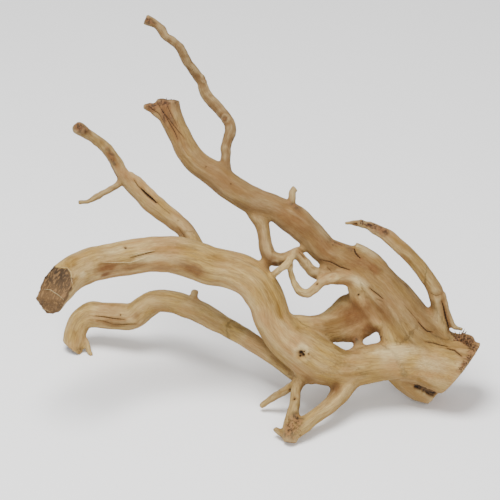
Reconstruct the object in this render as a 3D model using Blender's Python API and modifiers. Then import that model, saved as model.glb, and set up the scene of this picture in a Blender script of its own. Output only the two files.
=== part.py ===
"""Spiderwood root: one grown piece of azalea root, sawn from its stump, standing on three feet.

The root is drawn on a sheet, in millimetres: right, up, and toward the eye. The eye is SIGHT
away, so what lies behind the sheet is drawn a little smaller than it is. The sheet leans back by
LEAN, which brings the three feet level with the floor. Every grown limb is a strand: a list of
stations with a place, a half width across the sheet and, where the wood is flattened, a half
depth. The strands are lofted, fused into one skin, smoothed, and thinned to a light mesh.
"""

import math

import bmesh
import bpy
import numpy as np
from mathutils import Vector

NAME = "spiderwood_root"
MM = 0.001

# Where the drawing is seen from, in millimetres, and how far the sheet leans back.
SIGHT = 1600.0
AIM_RIGHT, AIM_UP = -33.3, 127.3
LEAN = math.radians(30)

# The front foot, on the sheet, and how far it stands above the floor: this sets the floor's height.
FOOT = (-6.0, 1.0, 22.0)
FOOT_HEIGHT = 2.3

# The skin: spacing of the lofted rings, sides of a ring, grid of the fused skin, triangles kept.
RING_STEP = 2.0
RING_SIDES = 20
FILLET_GRID = 1.6
FILLET_PASSES = 10
SKIN_GRID = 0.8
SKIN_PASSES = 4
SKIN_GROWTH = 0.15
TRIANGLES = 11400

WOOD_COLOUR = (0.52, 0.38, 0.23, 1.0)
WOOD_ROUGHNESS = 0.7

# Each strand: stations of (right, up, toward, half width[, half depth]), in millimetres.
STRANDS = {
    "arm": [
        (-173.5, 82.5, 61.0, 8.6),
        (-167.5, 92.0, 51.5, 9.8),
        (-160.5, 101.5, 43.5, 10.6),
        (-152.0, 110.5, 35.0, 10.7),
        (-140.0, 116.5, 27.0, 10.8),
        (-126.5, 119.5, 21.0, 10.7),
        (-113.5, 122.0, 17.0, 11.0),
        (-100.0, 124.0, 14.0, 11.0),
        (-86.5, 124.8, 12.0, 11.7),
        (-73.5, 122.5, 11.0, 12.4),
        (-60.0, 117.5, 10.0, 12.5),
        (-45.5, 114.5, 9.0, 12.6),
        (-32.0, 107.5, 9.0, 13.2),
        (-23.0, 94.5, 8.0, 12.9),
        (-18.0, 80.5, 7.0, 12.6),
        (-10.5, 70.0, 6.0, 13.3),
        (0.0, 62.0, 5.0, 14.5),
        (12.0, 54.5, 4.0, 14.8),
        (24.0, 50.0, 2.0, 12.5),
        (37.5, 49.5, 0.0, 10.8),
        (52.0, 52.0, -2.0, 10.5),
    ],
    "stump": [
        (28.0, 52.0, -1.0, 6.5),
        (38.5, 54.0, -2.0, 9.5),
        (48.0, 53.5, -3.0, 11.6),
        (60.0, 54.5, -4.0, 12.5),
        (73.5, 54.5, -5.0, 14.0),
        (86.5, 52.5, -6.0, 16.8),
        (98.0, 50.0, -7.0, 19.0),
        (108.0, 47.5, -8.0, 20.5),
        (120.0, 44.0, -9.0, 21.5),
    ],
    "crest": [
        (86.0, 60.0, -7.0, 10.0),
        (97.0, 63.5, -8.0, 9.5),
        (107.0, 61.5, -9.0, 8.8),
        (118.0, 54.0, -9.0, 8.0),
    ],
    "heel": [
        (58.0, 50.5, -10.0, 6.5, 9.0),
        (69.5, 43.5, -14.0, 8.6, 11.5),
        (78.5, 37.8, -16.5, 9.2, 13.5),
        (87.0, 34.3, -19.0, 8.8, 14.0),
        (96.0, 31.5, -20.5, 8.6, 13.5),
    ],
    "mast": [
        (93.0, 58.0, -8.0, 13.0),
        (82.5, 67.5, -8.0, 15.3),
        (72.0, 78.0, -7.0, 16.0),
        (62.0, 92.0, -6.0, 14.7),
        (50.0, 105.5, -5.0, 13.8),
        (38.5, 115.5, -4.0, 12.2),
        (28.0, 121.0, -2.0, 10.7),
        (16.5, 127.5, 0.0, 9.2),
        (5.5, 139.5, 2.0, 9.0),
        (-6.0, 148.5, 4.0, 9.5),
        (-18.0, 155.5, 6.0, 7.7),
        (-30.5, 159.8, 8.0, 8.5),
        (-43.5, 167.2, 11.0, 8.1),
        (-57.0, 177.2, 14.0, 7.8),
        (-67.5, 184.0, 15.0, 7.4),
        (-74.2, 191.5, 14.0, 7.4),
        (-79.1, 201.5, 12.0, 7.1),
        (-85.0, 213.0, 9.0, 7.6),
        (-87.0, 220.5, 8.0, 8.1),
        (-87.5, 230.0, 7.0, 7.0),
    ],
    "torn_lip": [
        (-86.0, 213.0, 9.0, 3.4),
        (-93.3, 218.7, 9.0, 4.2),
        (-98.8, 221.5, 9.0, 2.9),
        (-103.6, 222.0, 9.0, 1.6),
    ],
    "whip": [
        (-49.5, 176.5, 12.0, 4.2),
        (-49.5, 182.0, 12.0, 3.3),
        (-49.2, 188.5, 11.0, 3.0),
        (-49.0, 195.5, 9.0, 3.1),
        (-47.6, 200.5, 7.0, 3.4),
        (-46.0, 207.5, 4.0, 3.6),
        (-48.0, 213.5, 1.0, 3.4),
        (-52.9, 219.5, -3.0, 3.6),
        (-58.5, 225.5, -6.0, 3.5),
        (-63.0, 231.5, -8.0, 3.2),
        (-65.1, 237.5, -9.0, 3.0),
        (-68.6, 243.0, -9.0, 3.0),
        (-72.5, 248.5, -8.0, 3.0),
        (-76.0, 254.5, -6.0, 3.0),
        (-79.0, 260.5, -4.0, 3.1),
        (-84.0, 265.0, -3.0, 2.8),
        (-88.8, 268.3, -3.0, 2.7),
        (-91.9, 273.3, -4.0, 2.8),
        (-96.4, 276.8, -5.0, 2.7),
        (-103.0, 280.2, -5.0, 3.4),
    ],
    "fork": [
        (-67.5, 126.0, 0.0, 6.5),
        (-72.8, 135.5, -6.0, 6.0),
        (-77.0, 141.5, -9.0, 5.8),
        (-84.5, 146.8, -13.0, 5.6),
        (-91.5, 151.6, -16.0, 5.2),
        (-98.5, 156.5, -18.0, 4.9),
        (-104.8, 162.8, -20.0, 4.6),
        (-111.3, 169.5, -21.0, 4.4),
        (-116.5, 175.8, -22.0, 4.1),
        (-121.2, 184.0, -23.0, 3.9),
        (-125.8, 191.5, -24.0, 3.6),
        (-130.0, 196.5, -23.0, 3.2),
        (-136.5, 201.0, -20.0, 3.1),
        (-142.0, 204.8, -17.0, 3.4),
        (-146.3, 207.6, -14.0, 4.0),
        (-148.2, 208.4, -13.0, 3.4),
        (-149.4, 208.9, -12.5, 1.6),
    ],
    "fork_rib": [
        (-118.0, 177.0, -22.0, 2.0),
        (-112.5, 176.5, -20.0, 2.2),
        (-108.5, 174.0, -18.0, 2.3),
        (-102.5, 168.5, -17.0, 2.4),
        (-96.0, 161.5, -15.0, 2.6),
        (-89.5, 155.5, -13.0, 2.8),
        (-82.0, 149.5, -11.0, 2.8),
        (-77.0, 144.5, -10.0, 2.6),
    ],
    "fork_twig": [
        (-115.5, 175.5, -22.0, 2.4),
        (-122.0, 169.5, -20.0, 2.0),
        (-128.0, 166.2, -17.0, 1.9),
        (-134.5, 162.6, -14.0, 1.8),
        (-140.0, 159.8, -12.0, 1.6),
        (-146.5, 158.6, -11.0, 1.4),
    ],
    "hook": [
        (-32.5, 158.0, 6.0, 6.4),
        (-29.0, 150.5, 6.0, 5.6),
        (-25.3, 142.5, 7.0, 4.6),
        (-24.2, 135.5, 9.0, 4.2),
        (-23.0, 128.5, 10.0, 4.4),
        (-20.6, 123.2, 11.0, 4.7),
        (-14.5, 121.0, 10.0, 4.3),
        (-8.5, 122.5, 9.0, 3.4),
        (-3.0, 125.0, 8.0, 3.0),
        (0.5, 122.0, 8.5, 2.8),
        (4.3, 117.3, 8.0, 2.9),
        (8.7, 113.0, 7.0, 3.3),
        (14.0, 111.5, 4.0, 4.0),
        (20.0, 114.0, -1.0, 5.6),
        (29.0, 118.0, -2.0, 7.0),
    ],
    "bridge": [
        (-23.5, 105.5, 11.0, 2.6),
        (-18.5, 110.5, 15.0, 1.9),
        (-14.0, 114.5, 18.0, 1.8),
        (-9.5, 117.5, 18.0, 2.0),
        (-6.5, 122.0, 14.0, 2.3),
        (-4.0, 126.0, 9.0, 2.2),
        (-1.5, 128.0, 5.0, 1.8),
        (1.5, 125.0, 3.0, 1.6),
    ],
    "loop": [
        (-7.5, 121.0, 15.0, 2.2),
        (-7.0, 115.5, 14.0, 1.6),
        (-5.5, 109.5, 13.0, 1.7),
        (-3.0, 103.5, 13.0, 1.9),
        (0.5, 99.5, 13.0, 2.3),
        (4.5, 98.5, 12.0, 2.5),
        (9.0, 101.5, 11.0, 2.6),
        (13.5, 105.5, 10.0, 2.8),
        (18.5, 108.0, 9.0, 3.4),
        (24.5, 108.5, 8.0, 4.3),
        (31.5, 107.5, 7.0, 4.3),
        (37.5, 104.0, 5.0, 4.2),
        (44.0, 99.0, 1.0, 4.0),
    ],
    "thumb": [
        (-5.0, 151.5, 6.0, 4.2),
        (-6.0, 158.5, 7.0, 2.5),
        (-5.5, 162.5, 8.0, 2.0),
        (-5.3, 166.0, 8.0, 2.1),
        (-3.3, 168.0, 8.0, 2.2),
    ],
    "snag": [
        (35.5, 129.5, 1.0, 3.2),
        (40.5, 126.5, 0.0, 4.0),
        (46.5, 121.5, -1.0, 4.8),
        (53.5, 114.0, -3.0, 5.6),
    ],
    "sickle": [
        (93.0, 64.0, -6.0, 8.0),
        (92.0, 77.0, -5.0, 6.2),
        (91.0, 86.5, -3.0, 5.0),
        (90.3, 94.0, -1.0, 5.0),
        (88.2, 101.5, 1.0, 5.1),
        (82.7, 110.3, 4.0, 4.8),
        (76.3, 118.8, 6.0, 4.4),
        (69.8, 125.8, 8.0, 4.2),
        (63.4, 131.3, 9.0, 4.1),
        (57.0, 136.8, 9.0, 4.3),
        (50.5, 140.5, 8.0, 3.3),
        (44.0, 143.5, 6.0, 2.6),
        (36.5, 145.0, 3.0, 1.7),
        (29.0, 145.0, 0.0, 1.1),
    ],
    "splinter": [
        (93.0, 98.5, 1.0, 2.2),
        (96.2, 89.0, 0.0, 1.6),
        (98.6, 82.0, -1.0, 1.6),
        (101.5, 76.5, -1.0, 1.3),
        (107.0, 74.7, -1.0, 1.0),
    ],
    "web": [
        (-13.0, 79.0, 5.0, 6.5, 6.0),
        (-2.0, 77.5, 4.0, 7.0, 6.0),
        (10.5, 76.5, -1.0, 7.8, 5.6),
        (22.0, 78.0, -6.0, 12.0, 5.0),
        (33.5, 83.0, -8.5, 16.4, 6.2),
        (44.0, 88.0, -8.5, 16.0, 8.0),
        (56.0, 94.0, -8.0, 16.0, 8.0),
        (67.0, 94.0, -7.0, 12.0, 8.0),
    ],
    "fold": [
        (-7.5, 79.5, 5.0, 5.0, 6.5),
        (3.0, 74.5, 2.0, 6.5, 7.0),
        (12.0, 71.0, -2.0, 5.5, 6.0),
        (20.0, 73.0, -6.0, 5.0, 5.0),
    ],
    "flank": [
        (42.5, 98.0, -7.0, 7.0, 7.5),
        (52.0, 86.5, -7.5, 8.5, 8.5),
        (60.0, 76.0, -6.5, 8.0, 9.0),
        (68.0, 64.0, -5.0, 7.5, 9.0),
    ],
    "column": [
        (57.0, 96.0, -4.0, 8.0, 7.0),
        (58.5, 82.0, -4.5, 7.8, 7.5),
        (60.5, 70.0, -4.0, 8.2, 7.5),
        (65.0, 58.0, -5.0, 8.5, 8.0),
    ],
    "eave": [
        (35.0, 105.0, 4.0, 4.5),
        (38.5, 98.0, -1.5, 6.5),
        (44.5, 90.0, -5.0, 8.0),
        (52.0, 81.0, -7.0, 8.0),
    ],
    "torn_corner": [
        (97.0, 63.0, -7.0, 5.0),
        (103.5, 66.0, -6.5, 5.2),
        (109.5, 67.0, -6.0, 4.6),
        (113.5, 66.0, -6.0, 3.6),
    ],
    "stub": [
        (37.0, 73.0, -11.0, 4.0),
        (38.0, 66.0, -7.0, 2.8),
        (39.0, 58.0, -3.0, 4.2),
    ],
    "leg": [
        (-152.0, 57.0, -76.5, 6.4),
        (-150.0, 64.5, -76.5, 6.6),
        (-148.5, 73.0, -76.0, 6.8),
        (-144.5, 81.0, -75.0, 7.2),
        (-138.0, 84.5, -74.5, 7.9),
        (-129.5, 84.0, -72.0, 8.1),
        (-119.5, 83.5, -69.0, 8.4),
        (-110.5, 83.5, -65.5, 8.2),
        (-103.0, 89.0, -62.0, 7.8),
        (-96.5, 93.0, -58.5, 7.4),
        (-89.5, 93.5, -54.0, 7.3),
        (-79.5, 91.5, -49.0, 7.4),
        (-66.5, 86.5, -42.0, 7.3),
        (-52.0, 78.5, -34.0, 6.7),
        (-36.0, 69.5, -26.0, 6.0),
        (-22.5, 60.5, -18.0, 5.4),
        (-10.5, 50.5, -11.0, 4.6),
        (-2.5, 45.0, -5.0, 5.0),
        (7.0, 46.0, 0.0, 7.5),
    ],
    "leg_snag": [
        (-71.5, 91.0, -45.0, 3.2),
        (-69.5, 100.5, -45.0, 2.0),
    ],
    "leg_twig": [
        (-145.5, 73.5, -76.5, 2.6),
        (-141.5, 66.0, -74.5, 1.7),
        (-139.5, 61.0, -73.5, 1.4),
        (-138.0, 57.0, -72.5, 1.2),
    ],
    "prop": [
        (5.0, 48.0, 1.0, 6.5),
        (-0.5, 41.0, 3.0, 4.4),
        (-3.0, 34.5, 7.0, 3.2),
        (-3.5, 28.5, 11.0, 3.0),
        (-4.5, 22.5, 14.5, 3.4),
        (-5.5, 16.5, 17.5, 4.2),
        (-6.0, 10.5, 19.5, 5.2),
        (-6.5, 4.5, 21.0, 5.2),
        (-7.0, 0.5, 22.0, 4.2),
    ],
    "brace": [
        (33.0, 45.0, 0.0, 8.5),
        (27.5, 35.0, 1.0, 7.0),
        (22.5, 28.0, 5.5, 5.8),
        (16.0, 22.0, 10.5, 5.1),
        (8.0, 16.5, 14.5, 5.0),
        (1.5, 11.5, 18.0, 5.3),
        (-5.0, 6.5, 20.5, 5.0),
    ],
    "rootlet": [
        (-2.5, 39.5, 4.0, 3.2),
        (-8.0, 35.5, 0.0, 2.3),
        (-13.5, 32.5, -3.0, 2.2),
        (-20.0, 28.5, -7.5, 1.9),
        (-26.0, 24.0, -11.0, 1.4),
    ],
    "toe": [
        (-8.0, 4.0, 21.0, 3.2),
        (-12.5, 6.5, 18.5, 2.1),
        (-17.0, 9.5, 16.5, 1.2),
    ],
}

# The saw cut through the stump: a point on it and the way it faces, on the sheet.
SAW_POINT = (103.8, 47.4, -8.0)
SAW_FACING = (0.78, -0.62, -0.05)
SAW_SETBACK = 0.4

# Millimetres: points this near to the floor or the saw's plane are taken onto it.
FLAT_BAND = 0.08

# Each cut or break: the strand, a point on the cut and the way the cut faces, on the sheet.
CUTS = [
    ("arm", (-165.5, 93.0, 48.8), (-0.35, -0.45, 0.82)),
    ("arm", (-156.0, 94.3, 52.5), (-0.25, 0.45, 0.86)),
    ("stump", SAW_POINT, SAW_FACING),
    ("crest", SAW_POINT, SAW_FACING),
    ("heel", (90.0, 34.0, -18.0), (0.80, -0.60, 0.0)),
    ("mast", (-87.5, 226.5, 7.0), (0.05, 1.0, 0.1)),
    ("leg", (-150.5, 63.0, -76.5), (-0.60, -0.76, -0.25)),
    ("whip", (-102.0, 280.0, -5.0), (-0.95, 0.30, 0.0)),
]


def on_sheet(stations):
    """Stations as true millimetres right, up and toward: drawn sizes grow behind the sheet."""
    table = np.array([row if len(row) == 5 else (*row, row[3]) for row in stations])
    nearness = 1 - table[:, 2] / SIGHT
    true = table.copy()
    true[:, 0] = AIM_RIGHT + (table[:, 0] - AIM_RIGHT) * nearness
    true[:, 1] = AIM_UP + (table[:, 1] - AIM_UP) * nearness
    true[:, 3:] = (table[:, 3:] + SKIN_GROWTH) * nearness[:, None]
    return true


def smooth_line(stations, step):
    """Points every step millimetres on a curve through the stations, with their half sizes."""
    lengths = np.linalg.norm(np.diff(stations[:, :3], axis=0), axis=1)
    knots = np.concatenate([[0.0], np.cumsum(lengths)])
    slopes = np.gradient(stations, knots, axis=0)
    places = np.linspace(0.0, knots[-1], max(3, math.ceil(knots[-1] / step) + 1))
    span = np.clip(np.searchsorted(knots, places, side="right") - 1, 0, len(lengths) - 1)
    size = lengths[span][:, None]
    t = (places - knots[span])[:, None] / size
    start, end = stations[span], stations[span + 1]
    curve = (
        (2 * t**3 - 3 * t**2 + 1) * start
        + (t**3 - 2 * t**2 + t) * size * slopes[span]
        + (3 * t**2 - 2 * t**3) * end
        + (t**3 - t**2) * size * slopes[span + 1]
    )
    return curve, places


def lobes(angle, along, phase):
    """How far the section bulges, as a share of its size: two slow twists of low ribs."""
    return (
        1
        + 0.045 * np.sin(2 * angle + phase + along / 38)
        + 0.035 * np.sin(3 * angle - phase + along / 26)
        + 0.02 * np.sin(5 * angle + 2 * phase - along / 17)
    )


def loft(bm, line, places, phase):
    """A tube of lobed, flattened rings along the line, closed at both ends."""
    tangents = np.gradient(line[:, :3], axis=0)
    tangents /= np.linalg.norm(tangents, axis=1)[:, None]
    across = np.cross([0.0, 0.0, 1.0], tangents)
    across /= np.linalg.norm(across, axis=1)[:, None]
    deep = np.cross(tangents, across)
    turn = np.arange(RING_SIDES) * 2 * math.pi / RING_SIDES
    rings = []
    for k, place in enumerate(places):
        bulge = lobes(turn, place, phase)[:, None]
        wide = line[k, 3] * np.cos(turn)[:, None] * across[k]
        thick = line[k, 4] * np.sin(turn)[:, None] * deep[k]
        rings.append([bm.verts.new(p) for p in line[k, :3] + bulge * (wide + thick)])
    faces = []
    for low, high in zip(rings, rings[1:]):
        for k in range(RING_SIDES):
            after = (k + 1) % RING_SIDES
            faces.append(bm.faces.new((low[k], low[after], high[after], high[k])))
    faces.append(bm.faces.new(rings[0][::-1]))
    faces.append(bm.faces.new(rings[-1]))
    return faces


def sawn(bm, point, normal):
    """Cuts off what lies past the plane and closes the cut."""
    everything = bm.verts[:] + bm.edges[:] + bm.faces[:]
    cut = bmesh.ops.bisect_plane(
        bm, geom=everything, plane_co=point, plane_no=normal, clear_outer=True
    )
    rim = [e for e in cut["geom_cut"] if isinstance(e, bmesh.types.BMEdge)]
    bmesh.ops.edgeloop_fill(bm, edges=rim)


def strand_mesh(name, stations, phase):
    """One limb as a closed mesh on the sheet, in true millimetres, with its cuts made."""
    line, places = smooth_line(on_sheet(stations), RING_STEP)
    bm = bmesh.new()
    loft(bm, line, places, phase)
    for strand, point, normal in CUTS:
        if strand == name:
            place = on_sheet([(*point, 0.0)])[0, :3]
            sawn(bm, Vector(place), Vector(normal).normalized())
    bmesh.ops.recalc_face_normals(bm, faces=bm.faces[:])
    mesh = bpy.data.meshes.new(name)
    bm.to_mesh(mesh)
    bm.free()
    return mesh


def stood_up(points):
    """True millimetres on the sheet as metres in the world, over the front foot, sheet leant back."""
    foot = on_sheet([(*FOOT, 0.0)])[0, :3]
    right, up, toward = (points - foot).T
    world = np.stack(
        [
            right,
            up * math.sin(LEAN) - toward * math.cos(LEAN),
            up * math.cos(LEAN) + toward * math.sin(LEAN) + FOOT_HEIGHT,
        ],
        axis=1,
    )
    return world * MM


def standing(mesh):
    """Stands a mesh up from the sheet."""
    points = np.empty(len(mesh.vertices) * 3, np.float32)
    mesh.vertices.foreach_get("co", points)
    world = stood_up(points.reshape(-1, 3))
    mesh.vertices.foreach_set("co", world.astype(np.float32).ravel())
    mesh.update()


def joined(name, meshes):
    """One object that holds all these meshes, still loose from each other."""
    bm = bmesh.new()
    for mesh in meshes:
        bm.from_mesh(mesh)
    together = bpy.data.meshes.new(name)
    bm.to_mesh(together)
    bm.free()
    thing = bpy.data.objects.new(name, together)
    bpy.context.scene.collection.objects.link(thing)
    return thing


def fused(thing, grid, passes):
    """The object's mesh as one skin on a grid, smoothed that many times."""
    remesh = thing.modifiers.new("one skin", "REMESH")
    remesh.mode = "VOXEL"
    remesh.voxel_size = grid * MM
    smooth = thing.modifiers.new("weathered", "SMOOTH")
    smooth.factor = 0.5
    smooth.iterations = passes
    graph = bpy.context.evaluated_depsgraph_get()
    mesh = bpy.data.meshes.new_from_object(thing.evaluated_get(graph))
    bpy.data.objects.remove(thing)
    return mesh


def saw_plane():
    """A point on the saw cut and its facing, in the world, a little inside the rounded rim."""
    facing = np.array(SAW_FACING) / np.linalg.norm(SAW_FACING)
    point = on_sheet([(*SAW_POINT, 0.0)])[0, :3] - SAW_SETBACK * facing
    ends = stood_up(np.array([point, point + facing]))
    return Vector(ends[0]), Vector(ends[1] - ends[0]).normalized()


def flattened(mesh):
    """Presses the feet flat on the floor and the sawn face flat on its plane."""
    point, facing = saw_plane()
    band = FLAT_BAND * MM
    for vertex in mesh.vertices:
        past = (vertex.co - point).dot(facing)
        if past > -band:
            vertex.co -= past * facing
        if vertex.co.z < band:
            vertex.co.z = 0.0


def centred(mesh):
    """Moves the mesh so that the middle of its box stands over the origin, and returns the move."""
    points = np.array([vertex.co[:] for vertex in mesh.vertices])
    middle = (points.min(axis=0) + points.max(axis=0)) / 2
    move = Vector((-middle[0], -middle[1], 0.0))
    for vertex in mesh.vertices:
        vertex.co += move
    return move


def wood():
    material = bpy.data.materials.new("weathered_wood")
    material.use_nodes = True
    shader = material.node_tree.nodes["Principled BSDF"]
    shader.inputs["Base Color"].default_value = WOOD_COLOUR
    shader.inputs["Roughness"].default_value = WOOD_ROUGHNESS
    shader.inputs["Metallic"].default_value = 0.0
    return material


def build():
    for thing in list(bpy.data.objects):
        bpy.data.objects.remove(thing)
    limbs = []
    for index, (name, stations) in enumerate(STRANDS.items()):
        mesh = strand_mesh(name, stations, 2.4 * index)
        standing(mesh)
        limbs.append(mesh)
    # A coarse, much smoothed skin fills the crotches; the limbs added to it keep their size.
    fillets = fused(joined("fillets", limbs), FILLET_GRID, FILLET_PASSES)
    skin = fused(joined("skin", [fillets, *limbs]), SKIN_GRID, SKIN_PASSES)
    flattened(skin)

    root = bpy.data.objects.new(NAME, skin)
    collection = bpy.data.collections.new("Spiderwood root")
    bpy.context.scene.collection.children.link(collection)
    collection.objects.link(root)
    thinned = root.modifiers.new("thinned", "DECIMATE")
    thinned.ratio = TRIANGLES / (2 * len(skin.polygons))
    graph = bpy.context.evaluated_depsgraph_get()
    light = bpy.data.meshes.new_from_object(root.evaluated_get(graph))
    flattened(light)
    root.modifiers.clear()
    root.data = light
    front_foot = centred(light)
    light.name = NAME
    light.materials.append(wood())
    light.shade_smooth()
    return front_foot


FRONT_FOOT = build()
print("The front foot stands at", [round(value, 4) for value in FRONT_FOOT])
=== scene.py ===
# %% [markdown]
# A spiderwood root is the dug-up root of an azalea, stripped of its bark and sawn from the stump.
# This lesson dresses the plain solid of such a root: it grows a finer skin over the same limbs,
# weathers it, marks it where the real one is marked, and gives it a wood that is made of nodes.
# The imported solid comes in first, as a fixed frame that nothing here may move.

# %% Load the solid
import math
import random

import bmesh
import bpy
import numpy as np
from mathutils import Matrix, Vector, noise
from mathutils.bvhtree import BVHTree


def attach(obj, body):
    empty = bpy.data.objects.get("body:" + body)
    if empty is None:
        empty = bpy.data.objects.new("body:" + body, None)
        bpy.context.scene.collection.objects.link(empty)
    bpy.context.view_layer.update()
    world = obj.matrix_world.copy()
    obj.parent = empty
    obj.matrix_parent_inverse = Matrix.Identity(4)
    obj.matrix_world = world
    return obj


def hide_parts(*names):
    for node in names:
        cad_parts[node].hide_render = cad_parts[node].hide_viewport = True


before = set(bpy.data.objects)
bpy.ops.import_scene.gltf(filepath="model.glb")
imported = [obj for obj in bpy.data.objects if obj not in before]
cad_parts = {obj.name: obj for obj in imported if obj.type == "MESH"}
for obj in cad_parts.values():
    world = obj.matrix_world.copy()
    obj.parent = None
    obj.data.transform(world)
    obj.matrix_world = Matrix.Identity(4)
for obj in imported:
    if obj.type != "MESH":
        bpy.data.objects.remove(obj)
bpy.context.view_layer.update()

NODE = "spiderwood_root"
MM = 0.001

# %% [markdown]
# The limbs are drawn on a sheet that leans back, in millimetres: right, up, and toward the eye.
# The drawing could be kept as a heavy mesh, but a table of stations along each limb stays readable
# and says what each limb is. A station has a place, a half width and, where the wood is flat,
# a half depth. What lies behind the sheet is drawn a little smaller than it is, as the eye sees it.

# %% Draw the limbs
# Where the drawing is seen from, in millimetres, and how far the sheet leans back.
SIGHT = 1600.0
AIM_RIGHT, AIM_UP = -33.3, 127.3
LEAN = math.radians(30)

# The front foot, on the sheet, and how far it stands above the floor: this sets the floor's height.
FOOT = (-6.0, 1.0, 22.0)
FOOT_HEIGHT = 2.3

# The skin, in millimetres: the lofted rings' spacing, sides and twist from limb to limb, the
# grids and rounds of smoothing, how much it stands proud, and the triangles it keeps.
RING_STEP = 2.0
RING_SIDES = 20
RING_TWIST = 2.4
FILLET_GRID = 1.6
FILLET_PASSES = 10
SKIN_GRID = 0.8
SKIN_PASSES = 4
SKIN_GROWTH = 0.15
MOST_TRIANGLES = 192000

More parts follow.
